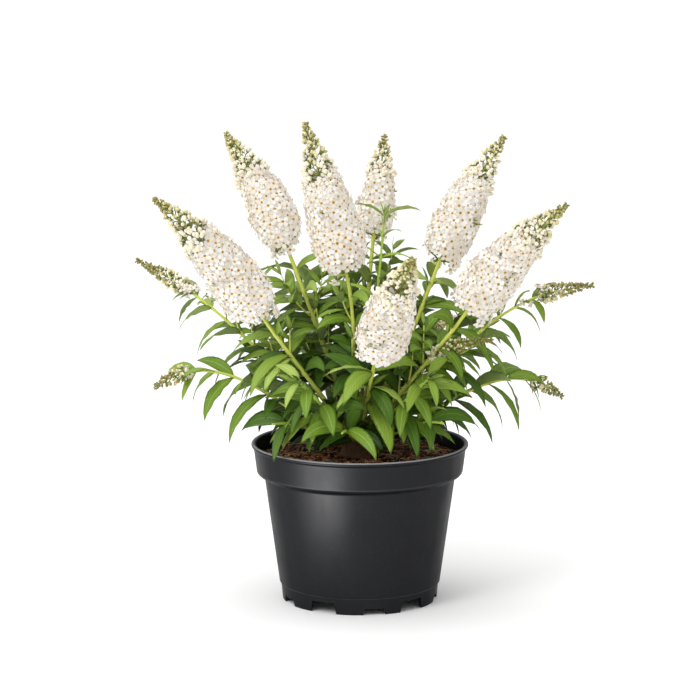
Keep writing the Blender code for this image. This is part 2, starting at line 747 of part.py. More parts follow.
def grow_crown(pot, compost, stock):
    """Lays out every stem and spike first, then lets the leaves grow round them."""
    crown = Crown()
    for thing in (pot, compost, stock):
        crown.add(thing.name, [corner.co for corner in thing.data.vertices],
                  [tuple(face.vertices) for face in thing.data.polygons])
    masses = []
    for number, (shoot, way) in enumerate(zip(SHOOTS, start_directions())):
        route = stem_route(shoot, way)
        mass = Mass(shoot, route, number)
        masses.append(mass)
        start = 0
        if shoot.bloom:
            grow_bough(mass, crown)
            grow_spike(mass, crown)
            start = mass.first + GAP
        mass.stem = skin(limb(mass, start, route.length, STEM_SIDES))
        crown.add(mass.node, *mass.stem)
    side = SIDE_SPIKE
    carrier = next(mass for mass in masses if mass.shoot.name == side.carrier)
    root = carrier.route.place(side.share * carrier.route.length)[0]
    route = spike_route(root, side.aim, side.lean_foot, side.lean_tip, side.length * MM)
    carrier.parts.append(fused_spike(route, side.girth))
    for rank in range(max(mass.pairs for mass in masses)):
        for mass in masses:
            if rank < mass.pairs:
                mass.grow_pair(rank, crown)
    return masses


def fused_spike(route, girth):
    mesh = spike_mesh("spike", route, girth * MM, SMALL_ROWS, SMALL_COLUMNS, FUSED_STALK_RADIUS)
    corners = [corner.co.copy() for corner in mesh.vertices]
    return corners, [tuple(face.vertices) for face in mesh.polygons]


def grow_bough(mass, crown):
    name = mass.shoot.name + "_stem"
    bough = skin(limb(mass, 0, mass.first, BOUGH_SIDES))
    crown.add(name, *bough)
    soften(add_object(name, closed_mesh(name, *bough), GREEN_STEM))


def grow_spike(mass, crown):
    """A long spike is its own piece at the stem's end; a short one is fused to the stem."""
    shoot = mass.shoot
    end, direction = mass.route.place(mass.route.length)
    if shoot.girth > LARGE_GIRTH:
        start = end + direction * GAP
        route = spike_route(start, shoot.aim, shoot.lean_foot, shoot.lean_tip, shoot.bloom * MM)
        name = shoot.name + "_blossom"
        mesh = spike_mesh(name, route, shoot.girth * MM, LARGE_ROWS, LARGE_COLUMNS, LARGE_TIP_RADIUS)
        add_object(name, mesh, WHITE_BLOSSOM)
        crown.add(name, [corner.co for corner in mesh.vertices],
                  [tuple(face.vertices) for face in mesh.polygons])
    else:
        start = end - direction * SPIKE_SINK
        length = shoot.bloom * MM + SPIKE_SINK
        route = spike_route(start, shoot.aim, shoot.lean_foot, shoot.lean_tip, length)
        shape = fused_spike(route, shoot.girth)
        mass.parts.append(shape)
        crown.add(mass.node, *shape)


def fuse(mass):
    """Joins a leafy stem and all that grows on it into one closed piece."""
    body = add_object(mass.node, closed_mesh(mass.node, *mass.stem))
    parts = [add_object("part", closed_mesh("part", *part)) for part in mass.parts]
    combine(body, parts, "UNION")
    keep_largest(body)
    body.data.materials.clear()
    body.data.materials.append(finish(*GREEN_LEAF))


def main():
    clear_scene()
    pot = build_pot()
    compost = build_compost()
    stock = build_rootstock()
    for mass in grow_crown(pot, compost, stock):
        fuse(mass)


main()
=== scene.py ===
# %% [markdown]
# # A white butterfly bush in its nursery pot
# This is a young dwarf butterfly bush as a nursery sells it: a black plastic pot full of dark
# compost, a short woody foot, arching green stems with narrow leaves in pairs, and long spikes of
# small white flowers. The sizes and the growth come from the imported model, which already stands in
# the right place, so the work here is to dress it. Each cell makes one piece or one finish.

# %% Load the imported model
import math
import random
from collections import namedtuple

import bpy
import numpy as np
from mathutils import Matrix, Vector, noise
from mathutils.bvhtree import BVHTree


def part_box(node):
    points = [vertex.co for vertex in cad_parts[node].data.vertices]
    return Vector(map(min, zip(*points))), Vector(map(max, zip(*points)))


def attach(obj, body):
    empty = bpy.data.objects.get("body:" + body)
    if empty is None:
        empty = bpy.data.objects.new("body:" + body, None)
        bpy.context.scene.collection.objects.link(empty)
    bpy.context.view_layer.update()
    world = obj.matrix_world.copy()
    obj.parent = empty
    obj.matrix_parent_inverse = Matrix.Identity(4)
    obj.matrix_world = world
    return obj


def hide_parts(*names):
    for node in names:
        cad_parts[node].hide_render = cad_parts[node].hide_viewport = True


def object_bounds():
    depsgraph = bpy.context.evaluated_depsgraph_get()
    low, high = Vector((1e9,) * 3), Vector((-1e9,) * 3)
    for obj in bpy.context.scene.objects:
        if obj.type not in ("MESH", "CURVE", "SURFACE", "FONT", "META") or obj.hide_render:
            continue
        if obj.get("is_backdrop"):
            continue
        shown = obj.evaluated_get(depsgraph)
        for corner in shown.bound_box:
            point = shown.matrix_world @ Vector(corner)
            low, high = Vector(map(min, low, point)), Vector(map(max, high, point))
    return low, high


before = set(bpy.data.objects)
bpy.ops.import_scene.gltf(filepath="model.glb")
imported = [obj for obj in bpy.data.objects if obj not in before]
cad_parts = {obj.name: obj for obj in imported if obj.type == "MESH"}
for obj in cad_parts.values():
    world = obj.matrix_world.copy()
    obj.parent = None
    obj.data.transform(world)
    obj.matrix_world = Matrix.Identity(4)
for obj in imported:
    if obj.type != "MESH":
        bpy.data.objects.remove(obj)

MM = 0.001
UP = Vector((0, 0, 1))
SEED = 7
cad_low, cad_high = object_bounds()
print("the packed model is", [round(side / MM) for side in cad_high - cad_low], "mm")

# %% [markdown]
# Colours are written as the hex values that a paint program shows. Blender works in linear light,
# so one function turns them. A material starts as a Principled shader with a plain colour, and
# nodes then add what the eye sees close up. The leaves and flowers keep their base colour plain
# and get their variety from several materials, because a pattern would smear when the small
# faces are packed into one image for export.

# %% Colour and material helpers
def linear(hex_colour):
    """An sRGB hex colour as linear light, with alpha 1."""
    channels = [int(hex_colour[i:i + 2], 16) / 255 for i in (0, 2, 4)]
    light = [c / 12.92 if c <= 0.04045 else ((c + 0.055) / 1.055) ** 2.4 for c in channels]
    return (*light, 1)


def new_material(name, hex_colour, roughness, **sockets):
    """A Principled material with plain values; sockets are named with _ for a space."""
    material = bpy.data.materials.new(name)
    material.use_nodes = True
    material.diffuse_color = linear(hex_colour)
    shader = material.node_tree.nodes["Principled BSDF"]
    shader.inputs["Base Color"].default_value = linear(hex_colour)
    shader.inputs["Roughness"].default_value = roughness
    for socket, value in sockets.items():
        shader.inputs[socket.replace("_", " ")].default_value = value
    return material


def add_node(material, kind, values=None, links=None, **settings):
    """Adds one node: its settings, the values of its inputs, and the outputs that feed them."""
    tree = material.node_tree
    made = tree.nodes.new(kind)
    for name, value in settings.items():
        setattr(made, name, value)
    for name, value in (values or {}).items():
        made.inputs[name].default_value = value
    for name, output in (links or {}).items():
        tree.links.new(output, made.inputs[name])
    return made


def feed(material, socket, output):
    shader = material.node_tree.nodes["Principled BSDF"]
    material.node_tree.links.new(output, shader.inputs[socket])


print("mid grey is", round(linear("808080")[0], 3), "in linear light")

# %% [markdown]
# An operator acts on everything that is selected, and loading the model left its parts selected.
# So each step first clears the selection. A finished piece belongs to the one rigid body, root,
# and the imported model's parts that it stands for are hidden.

# %% Helpers for modelling by hand
def between(ends, share):
    """The value at a share of the way from one end to the other."""
    return ends[0] + (ends[1] - ends[0]) * share


def select_only(*things):
    bpy.ops.object.select_all(action="DESELECT")
    for thing in things:
        thing.select_set(True)
    bpy.context.view_layer.objects.active = things[0]


def edit(thing):
    select_only(thing)
    bpy.ops.object.mode_set(mode="EDIT")


def leave():
    bpy.ops.object.mode_set(mode="OBJECT")


def pick(thing, corner_test, kind="VERT"):
    """Selects, in edit mode, the vertices, edges or faces whose corners all pass a test."""
    leave()
    mesh = thing.data
    passed = [corner_test(corner.co) for corner in mesh.vertices]
    mesh.vertices.foreach_set("select", passed)
    chosen_edges = [passed[edge.vertices[0]] and passed[edge.vertices[1]] for edge in mesh.edges]
    mesh.edges.foreach_set("select", chosen_edges)
    chosen_faces = [all(passed[i] for i in face.vertices) for face in mesh.polygons]
    mesh.polygons.foreach_set("select", chosen_faces if kind != "EDGE" else [False] * len(chosen_faces))
    bpy.context.tool_settings.mesh_select_mode = (kind == "VERT", kind == "EDGE", kind == "FACE")
    bpy.ops.object.mode_set(mode="EDIT")


def apply_modifier(thing, kind, **settings):
    step = thing.modifiers.new(kind.lower(), kind)
    for name, value in settings.items():
        setattr(step, name, value)
    select_only(thing)
    bpy.ops.object.modifier_apply(modifier=step.name)


def settle_piece(thing, name, slot, *replaced):
    """Names a piece, ties it to the body, and hides the imported parts that it replaces; the slot is not
    used.
    """
    thing.name = name
    thing.data.name = name
    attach(thing, "root")
    if replaced:
        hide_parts(*replaced)
    triangles = sum(len(face.vertices) - 2 for face in thing.data.polygons)
    print(f"{name}: {triangles} triangles")
    return thing


# %% [markdown]
# The pot is injection-moulded polypropylene: a tapered tub with a recessed foot, a deep band under
# the rim for gripping, and a thin turned lip. The lip's radius and height come from the packed
# model, and the smaller sizes follow the photo.

# %% The pot's sizes
pot_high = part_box("pot")[1]
POT_SIDES = 144
LIP_RADIUS = pot_high.x
POT_HEIGHT = pot_high.z
WALL = 2 * MM
LIP_DEPTH = 3.4 * MM
BAND_TOP = (96.3 * MM, 138.6 * MM)
BAND_FOOT = (93.5 * MM, 117.8 * MM)
BODY_TOP = (86.5 * MM, 112.6 * MM)
BODY_FOOT = (73.1 * MM, 15.9 * MM)
SKIRT_TOP = (71.8 * MM, 15.2 * MM)
SKIRT_FOOT = (70.3 * MM, 0)
SKIRT_WALL = 2.8 * MM
FLOOR_UNDERSIDE = 11 * MM
FLOOR_TOP = 12.6 * MM
DEEP_NOTCHES = (-28, 41.5, 115, 187, 259)       # headings from the front, which is -Y, towards +X
SHALLOW_NOTCHES = (10.5, 79, 151, 223, 295)
DEEP_NOTCH = (21.5 * MM, 10.4 * MM)             # width and height
SHALLOW_NOTCH = (17 * MM, 5.8 * MM)
NOTCH_FLARE = 0.2
DRAIN_RADIUS = 6 * MM
DRAIN_REACH = 50 * MM
HUB = 5 * MM
BODY_SHOULDER = (1.4 * MM, 1.7 * MM)            # out and up from the body's top
BAND_SHOULDER = (1.6 * MM, 2 * MM)              # in and down from the band's foot
INSIDE_SHOULDER = 1.4 * MM
LIP_ROUND = 1 * MM
LIP_FLAT = 1.2 * MM
LIP_UNDERCUT = 0.8 * MM
EDGE_ROUND = 0.8 * MM
print("the lip is", round(2 * LIP_RADIUS / MM, 1), "mm across")

# %% [markdown]
# A lathe shape like this could be spun from a curve. Here one ring is drawn out again and again, up
# the outside and down the inside, because every step of the wall then has its own radius and
# height in one readable list. A bevel rounds the edges that a mould would round.

# %% Draw the pot's wall ring by ring
def draw_ring(here, there):
    """Extrudes the selected ring from one radius and height to the next."""
    rise = {"value": (0, 0, there[1] - here[1])}
    bpy.ops.mesh.extrude_edges_move(TRANSFORM_OT_translate=rise)
    scale = there[0] / here[0]
    bpy.ops.transform.resize(value=(scale, scale, 1), center_override=(0, 0, 0))


def wall_stations():
    """Radius and height of each ring, from the floor's underside round the wall to its top."""
    lip_foot = POT_HEIGHT - LIP_DEPTH
    band_inside = BAND_TOP[0] - WALL
    return [
        (HUB, FLOOR_UNDERSIDE),
        (SKIRT_FOOT[0] - SKIRT_WALL, FLOOR_UNDERSIDE),
        (SKIRT_FOOT[0] - SKIRT_WALL, 0),
        SKIRT_FOOT,
        SKIRT_TOP,
        BODY_FOOT,
        BODY_TOP,
        (BODY_TOP[0] + BODY_SHOULDER[0], BODY_TOP[1] + BODY_SHOULDER[1]),
        (BAND_FOOT[0] - BAND_SHOULDER[0], BAND_FOOT[1] - BAND_SHOULDER[1]),
        BAND_FOOT,
        (BAND_TOP[0], lip_foot - LIP_UNDERCUT),
        (LIP_RADIUS - LIP_UNDERCUT, lip_foot),
        (LIP_RADIUS, lip_foot + 0.9 * MM),
        (LIP_RADIUS, POT_HEIGHT - LIP_ROUND),
        (LIP_RADIUS - LIP_ROUND, POT_HEIGHT),
        (LIP_RADIUS - LIP_ROUND - LIP_FLAT, POT_HEIGHT),
        (band_inside, POT_HEIGHT - INSIDE_SHOULDER),
        (BAND_FOOT[0] - WALL, BAND_FOOT[1] + INSIDE_SHOULDER),
        (BODY_TOP[0] - WALL, BODY_TOP[1] + INSIDE_SHOULDER),
        (BODY_FOOT[0] - WALL, FLOOR_TOP),
        (HUB, FLOOR_TOP),
    ]


stations = wall_stations()
bpy.ops.object.select_all(action="DESELECT")
bpy.ops.mesh.primitive_circle_add(vertices=POT_SIDES, radius=HUB, location=(0, 0, FLOOR_UNDERSIDE))
pot = bpy.context.object
select_only(pot)
bpy.ops.object.transform_apply(location=True)
edit(pot)
bpy.ops.mesh.select_all(action="SELECT")
for here, there in zip(stations, stations[1:]):
    draw_ring(here, there)
bpy.ops.mesh.select_all(action="DESELECT")
bpy.ops.mesh.select_non_manifold()
bpy.ops.mesh.fill_holes(sides=0)
bpy.ops.mesh.select_all(action="SELECT")
bpy.ops.mesh.normals_make_consistent(inside=False)
leave()
apply_modifier(pot, "BEVEL", width=EDGE_ROUND, segments=3, limit_method="ANGLE", angle_limit=math.radians(24))
print("the wall has", len(stations), "rings of", POT_SIDES, "points")

# %% [markdown]
# Water leaves through holes in the floor, and the foot is cut away in ten places so that it can
# run off. Each cut is a block or a rod that is taken away from the pot. One Boolean with all of
# them joined is quicker and cleaner than fifteen in a row.

# %% Cut the notches and the drain holes
def add_notch(degrees, width, height):
    """A block that is wider at the ground than at its top, set across the foot ring."""
    bpy.ops.object.select_all(action="DESELECT")
    bpy.ops.mesh.primitive_cube_add(size=1)
    block = bpy.context.object
    pick(block, lambda corner: corner.z < 0)
    bpy.ops.transform.resize(value=(1 + 2 * NOTCH_FLARE, 1, 1))
    leave()
    block.scale = (width, 5 * SKIRT_WALL, 2 * height)
    return turn_into_place(block, degrees, SKIRT_FOOT[0], 0)


def add_drain(degrees):
    bpy.ops.object.select_all(action="DESELECT")
    bpy.ops.mesh.primitive_cylinder_add(vertices=32, radius=DRAIN_RADIUS, depth=12 * MM)
    return turn_into_place(bpy.context.object, degrees, DRAIN_REACH, FLOOR_TOP)


def turn_into_place(cutter, degrees, reach, height):
    angle = math.radians(degrees)
    cutter.location = (math.sin(angle) * reach, -math.cos(angle) * reach, height)
    cutter.rotation_euler = (0, 0, angle)
    bpy.ops.object.transform_apply(location=True, rotation=True, scale=True)
    return cutter


cutters = [add_notch(degrees, *DEEP_NOTCH) for degrees in DEEP_NOTCHES]
cutters += [add_notch(degrees, *SHALLOW_NOTCH) for degrees in SHALLOW_NOTCHES]
cutters += [add_drain(degrees) for degrees in DEEP_NOTCHES]
select_only(*cutters)
bpy.ops.object.join()
all_cuts = bpy.context.object
apply_modifier(pot, "BOOLEAN", operation="DIFFERENCE", solver="EXACT", object=all_cuts)
bpy.data.objects.remove(all_cuts)
select_only(pot)
bpy.ops.object.shade_smooth_by_angle(angle=math.radians(32))
print("cut", len(cutters), "openings")

# %% [markdown]
# A finish that looks real up close needs a small network of nodes. The same few steps come again
# in every one of them: noise with grains of one size, a bump, a change of range, a little
# arithmetic, and a mix of two colours. Each step is a function that returns its node's output, so
# that one step can be written inside another.

# %% Steps of a node network
def grains(material, size, detail=2, roughness=0.5, squeeze=None):
    """Noise from 0 to 1 with grains of one size; a squeeze under 1 draws them out upwards."""
    place = add_node(material, "ShaderNodeTexCoord").outputs["Object"]
    if squeeze:
        mapping = add_node(material, "ShaderNodeMapping", {"Scale": (1, 1, squeeze)}, {"Vector": place})
        place = mapping.outputs["Vector"]
    values = {"Scale": 1 / size, "Detail": detail, "Roughness": roughness}
    return add_node(material, "ShaderNodeTexNoise", values, {"Vector": place}).outputs["Fac"]


def bump(material, height, strength, distance, under=None):
    """Lifts the surface by a height, on top of another bump if there is one."""
    links = {"Height": height, "Normal": under} if under else {"Height": height}
    values = {"Strength": strength, "Distance": distance}
    return add_node(material, "ShaderNodeBump", values, links).outputs["Normal"]


def remap(material, value, start, end, low=0.0, high=1.0):
    """Maps a value from the range low to high onto start to end."""
    values = {"From Min": low, "From Max": high, "To Min": start, "To Max": end}
    return add_node(material, "ShaderNodeMapRange", values, {"Value": value}).outputs["Result"]


def combine(material, operation, *terms, **settings):
    """One step of arithmetic; its terms are numbers or the outputs of other nodes."""
    links = {i: term for i, term in enumerate(terms) if isinstance(term, bpy.types.NodeSocket)}
    values = {i: term for i, term in enumerate(terms) if i not in links}
    return add_node(material, "ShaderNodeMath", values, links, operation=operation, **settings).outputs[0]


def blend(material, share, first, second):
    """Mixes two colours by a share; each is a hex colour or another node's output."""
    colours = {6: first, 7: second}
    values = {i: linear(colour) for i, colour in colours.items() if isinstance(colour, str)}
    links = {i: colour for i, colour in colours.items() if i not in values}
    return add_node(material, "ShaderNodeMix", values, {0: share, **links}, data_type="RGBA").outputs[2]


print("five steps build every finish")

# %% [markdown]
# Moulded polypropylene is a satin black-grey. It never looks quite even: the skin has a fine grain
# of about half a millimetre, faint streaks run up the wall where the melt flowed, and handling and
# dust make some patches duller. Stretching the noise upwards gives the streaks, and the roughness
# carries most of the change, so that the highlights break up softly. Real specks of dust are too
# fine to show, so they are drawn 1.3 mm wide. Three edges get a painted highlight, a pale line that
# the dust breaks up: the lip, the foot of the band and the top of the foot ring. Plastic shines
# most where it is seen edge on, and a studio holds that back with dark boards beside the object.
# Here a Layer Weight node does it.

# %% Black moulded polypropylene
GRAIN = 0.5 * MM
SPECK = 1.3 * MM
STREAK = 9 * MM
STREAK_SQUEEZE = 0.12            # the noise is read this much slower upwards
DUST_PATCH = MM / 0.028
# Half widths and strengths of the painted highlight lines on three edges.
HIGHLIGHT_HALF_WIDTH = 0.9 * MM
FOOT_HIGHLIGHT_HALF_WIDTH = 0.8 * MM
LIP_HIGHLIGHT_STRENGTH, BAND_HIGHLIGHT_STRENGTH, FOOT_HIGHLIGHT_STRENGTH = 2.2, 0.16, 0.2
polypropylene = new_material("moulded black polypropylene", "0c0d10", 0.4, IOR=1.36)
streaks = grains(polypropylene, STREAK, 4, 0.6, STREAK_SQUEEZE)
dust = grains(polypropylene, DUST_PATCH, 6, 0.62)
uneven = combine(polypropylene, "ADD", combine(polypropylene, "MULTIPLY", streaks, 0.5), dust)
skin = blend(polypropylene, dust, "08090c", "15161a")
speck_mask = remap(polypropylene, grains(polypropylene, SPECK, 1), 0, 1, 0.66, 0.74)
dusted = blend(polypropylene, speck_mask, skin, "232428")
place = add_node(polypropylene, "ShaderNodeTexCoord").outputs["Object"]
height = add_node(polypropylene, "ShaderNodeSeparateXYZ", {}, {0: place}).outputs["Z"]


def painted_highlight_line(level, half_width, strength):
    """A painted highlight line round the pot at one height, broken up by the dust, from 0 to its strength."""
    away = combine(polypropylene, "ABSOLUTE", combine(polypropylene, "SUBTRACT", height, level))
    line = remap(polypropylene, away, 0, strength, half_width, 0.3 * half_width)
    return combine(polypropylene, "MULTIPLY", line, dust)


# Painted highlights: pale lines where the lip, the band's foot and the foot ring's top catch the light.
lip_highlight = painted_highlight_line(POT_HEIGHT - 0.2 * MM, HIGHLIGHT_HALF_WIDTH, LIP_HIGHLIGHT_STRENGTH)
band_highlight = painted_highlight_line(BAND_FOOT[1] + 0.5 * MM, HIGHLIGHT_HALF_WIDTH, BAND_HIGHLIGHT_STRENGTH)
foot_highlight = painted_highlight_line(SKIRT_TOP[1], FOOT_HIGHLIGHT_HALF_WIDTH, FOOT_HIGHLIGHT_STRENGTH)
upper_highlights = combine(polypropylene, "ADD", lip_highlight, band_highlight)
painted_highlights = combine(polypropylene, "ADD", upper_highlights, foot_highlight, use_clamp=True)
skin_bump = bump(polypropylene, grains(polypropylene, GRAIN), 0.25, 0.05 * MM)
edge = add_node(polypropylene, "ShaderNodeLayerWeight", {"Blend": 0.5}).outputs["Facing"]
# The pale grey 8c8f94 is the painted highlight on those three edges.
feed(polypropylene, "Base Color", blend(polypropylene, painted_highlights, dusted, "8c8f94"))
feed(polypropylene, "Specular IOR Level", remap(polypropylene, edge, 0.42, 0.1, 0.08, 0.55))
feed(polypropylene, "Roughness", remap(polypropylene, uneven, 0.3, 0.5, 0.45, 1.05))
feed(polypropylene, "Normal", bump(polypropylene, streaks, 0.3, 0.15 * MM, skin_bump))
pot.data.materials.append(polypropylene)
settle_piece(pot, "nursery_pot", "pot_plastic", "pot")
print("the streaks are", round(STREAK / MM), "mm wide")

# %% [markdown]
# The compost is a mix of peat and composted bark. Its surface is crumbly, a little lower beside the
# wall where watering settles it, and nearly black because it is moist. The filling is a plug with
# many rings on top, and two clouds of noise push its top up and down: a coarse one for humps and a
# fine one for crumbs.

# %% Fill the pot with compost
SOIL_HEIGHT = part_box("compost")[1].z
SOIL_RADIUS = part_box("compost")[1].x + 0.9 * MM       # the band stands a little wider here
SOIL_SIDES = 96
SOIL_RINGS = 22
HUMP = 26 * MM
CRUMB = 3.2 * MM
HUMP_HEIGHT = 1.6 * MM
CRUMB_HEIGHT = 1.7 * MM
SETTLED = 1.2 * MM
RIM_LEVEL = SOIL_HEIGHT - 1 * MM
SNUG = WALL + 0.5 * MM           # the plug keeps clear of the pot's wall by half a millimetre

bpy.ops.object.select_all(action="DESELECT")
bpy.ops.mesh.primitive_circle_add(vertices=SOIL_SIDES, radius=SOIL_RADIUS, fill_type="NGON",
                                  location=(0, 0, RIM_LEVEL))
compost = bpy.context.object
bpy.ops.object.transform_apply(location=True)
edit(compost)
bpy.ops.mesh.select_all(action="SELECT")
for _ in range(SOIL_RINGS):
    bpy.ops.mesh.inset(thickness=SOIL_RADIUS / (SOIL_RINGS + 1.5), depth=0)
bpy.ops.mesh.poke()
bpy.ops.mesh.select_all(action="SELECT")
bpy.ops.mesh.subdivide(number_cuts=1)
bpy.ops.mesh.select_all(action="DESELECT")
bpy.ops.mesh.select_non_manifold()
plug = [(SOIL_RADIUS, RIM_LEVEL), (BAND_FOOT[0] - SNUG, BAND_FOOT[1] + 1.7 * MM),
        (BODY_TOP[0] - SNUG, BODY_TOP[1] + 1.7 * MM), (BODY_FOOT[0] - SNUG, FLOOR_TOP + 0.3 * MM)]
for here, there in zip(plug, plug[1:]):
    draw_ring(here, there)
bpy.ops.mesh.fill_holes(sides=0)
bpy.ops.mesh.select_all(action="SELECT")
bpy.ops.mesh.normals_make_consistent(inside=False)
leave()

for corner in compost.data.vertices:
    reach = math.hypot(corner.co.x, corner.co.y)
    if corner.co.z > SOIL_HEIGHT - 2 * MM:
        humps = noise.noise(corner.co / HUMP) * HUMP_HEIGHT
        crumbs = noise.turbulence(corner.co / CRUMB, 2, False) * CRUMB_HEIGHT
        settled = SETTLED * (reach / SOIL_RADIUS) ** 6
        fade = min(1, max(0, (SOIL_RADIUS - reach) / (2 * MM)))
        corner.co.z += (humps + crumbs) * fade - settled
compost.data.shade_smooth()
print("the compost lies", round((POT_HEIGHT - SOIL_HEIGHT) / MM), "mm below the lip")

# %% [markdown]
# Moist peat is almost black and quite matt, with a warm brown where a crumb has dried. The two
# browns are mixed by a noise at the size of the crumbs, and the same noise lifts the surface.

# %% Moist peat compost
peat = new_material("moist peat compost", "3a2417", 0.9, IOR=1.4)
crumbs = grains(peat, CRUMB, 6, 0.65)
dried = remap(peat, crumbs, 0, 1, 0.46, 0.66)
feed(peat, "Base Color", blend(peat, dried, "22140c", "6b4226"))
feed(peat, "Normal", bump(peat, crumbs, 0.8, 0.8 * MM))
compost.data.materials.append(peat)
settle_piece(compost, "compost_fill", "compost", "compost")

# %% [markdown]
# The rest of the plant is thousands of small things: bark chips, leaves, florets and buds. Each
# kind is modelled once by hand as a pattern piece. Its corners and faces are then read into arrays,
# and every copy is the pattern moved, turned and bent by a little arithmetic. A heap gathers the
# copies of one kind and makes one mesh of them, which is far quicker than thousands of objects.

# %% Pattern pieces and heaps
Pattern = namedtuple("Pattern", "corners faces looks")


def read_pattern(thing):
    """Takes an object's corners, faces and material numbers as arrays, and removes the object."""
    mesh = thing.data
    corners = np.array([corner.co for corner in mesh.vertices])
    faces = np.full((len(mesh.polygons), 4), -1)
    for row, face in zip(faces, mesh.polygons):
        row[:len(face.vertices)] = face.vertices
    looks = np.array([face.material_index for face in mesh.polygons])
    bpy.data.objects.remove(thing)
    return Pattern(corners, faces, looks)


class Heap:
    """Gathers small shapes and joins them into one mesh."""

    def __init__(self, materials):
        self.materials = materials
        self.corners, self.faces, self.looks, self.maps = [], [], [], []
        self.count = 0

    def add(self, corners, faces, looks, corner_map=None):
        self.corners.append(corners)
        self.faces.append(np.where(faces < 0, -1, faces + self.count))
        self.looks.append(looks)
        if corner_map is not None:
            self.maps.append(corner_map)
        self.count += len(corners)

    def settle(self, name, slot, *replaced):
        corners = np.concatenate(self.corners)
        faces = np.concatenate(self.faces)
        flat = faces[faces >= 0]
        totals = (faces >= 0).sum(axis=1)
        mesh = bpy.data.meshes.new(name)
        mesh.vertices.add(len(corners))
        mesh.vertices.foreach_set("co", corners.astype(np.float32).ravel())
        mesh.loops.add(len(flat))
        mesh.loops.foreach_set("vertex_index", flat.astype(np.int32))
        mesh.polygons.add(len(faces))
        mesh.polygons.foreach_set("loop_start", (np.cumsum(totals) - totals).astype(np.int32))
        mesh.polygons.foreach_set("material_index", np.concatenate(self.looks).astype(np.int32))
        mesh.update(calc_edges=True)
        if self.maps:
            uv = mesh.uv_layers.new(name="leaf_map")
            uv.data.foreach_set("uv", np.concatenate(self.maps)[flat].astype(np.float32).ravel())
        mesh.validate()
        mesh.shade_smooth()
        for material in self.materials:
            mesh.materials.append(material)
        thing = bpy.data.objects.new(name, mesh)
        bpy.context.scene.collection.objects.link(thing)
        return settle_piece(thing, name, slot, *replaced)


def turn_matrix(direction, spin=0.0):
    """A 3 x 3 array that turns +Z to a direction, after a spin about Z."""
    quaternion = Vector(direction).to_track_quat("Z", "Y")
    return np.array((quaternion.to_matrix() @ Matrix.Rotation(spin, 3, "Z")))


print("a heap joins copies of one pattern piece")

# %% [markdown]
# Chips of composted bark and pale root fibres lie on the compost. A chip starts as a small ball of
# twenty faces, which is flattened and has its points moved at random, and four such chips are
# enough for the eye. They rest on the surface: a ray straight down finds its height.

# %% Scatter bark chips
CHIP_SIZES = (1.0 * MM, 3.4 * MM)
CHIP_COUNT = 3600
CHIP_SHADES = (("dark composted bark", "341f14"), ("brown composted bark", "7a4729"),
               ("reddish pine bark", "b8703f"), ("dry pine bark", "dda26c"))
CHIP_SHARES = (0.34, 0.68, 0.92, 1)
CHIP_GRAIN = MM / 1.4


def model_chip(seed):
    bpy.ops.object.select_all(action="DESELECT")
    bpy.ops.mesh.primitive_ico_sphere_add(subdivisions=1, radius=1)
    chip = bpy.context.object
    edit(chip)
    bpy.ops.mesh.select_all(action="SELECT")
    bpy.ops.transform.vertex_random(offset=0.45, seed=seed)
    bpy.ops.transform.resize(value=(1, 0.62, 0.34))
    leave()
    return read_pattern(chip)


def bark_material(name, hex_colour):
    bark = new_material(name, hex_colour, 0.85, IOR=1.45)
    feed(bark, "Normal", bump(bark, grains(bark, CHIP_GRAIN, 3), 0.7, 0.3 * MM))
    return bark


soil_tree = BVHTree.FromPolygons([corner.co for corner in compost.data.vertices],
                                 [face.vertices for face in compost.data.polygons])


def soil_level(x, y):
    spot = soil_tree.ray_cast(Vector((x, y, POT_HEIGHT)), -UP)[0]
    return spot.z if spot else SOIL_HEIGHT - 2 * MM


rng = random.Random(SEED)
chips = [model_chip(seed) for seed in range(4)]
chip_heap = Heap([bark_material(*shade) for shade in CHIP_SHADES])
for _ in range(CHIP_COUNT):
    reach = (SOIL_RADIUS - 3 * MM) * math.sqrt(rng.uniform(0.04, 1))
    angle = rng.uniform(0, math.tau)
    x, y = reach * math.cos(angle), reach * math.sin(angle)
    size = between(CHIP_SIZES, rng.random() ** 2)
    tilt = Vector((rng.gauss(0, 0.35), rng.gauss(0, 0.35), 1))
    turn = turn_matrix(tilt, rng.uniform(0, math.tau))
    pattern = rng.choice(chips)
    corners = pattern.corners * size @ turn.T + np.array((x, y, soil_level(x, y) + 0.15 * size))
    dice = rng.random()
    look = next(i for i, share in enumerate(CHIP_SHARES) if dice <= share)
    chip_heap.add(corners, pattern.faces, np.full(len(pattern.faces), look))
chip_heap.settle("bark_chips", "compost")
print("scattered", CHIP_COUNT, "chips")

# %% [markdown]
# Root fibres are fine, curly and straw-coloured. Each is a three-sided strand that wanders over the
# crumbs.

# %% Lay the root fibres
FIBRE_COUNT = 420
FIBRE_STEPS = 6
FIBRE_LENGTH = (6 * MM, 17 * MM)
FIBRE_RADIUS = 0.3 * MM
FIBRE_HEIGHT = (0.6, 1.9)        # how many millimetres its points stand above the compost
FIBRE_CURL = 0.6
BROWN_SHARE = 0.4


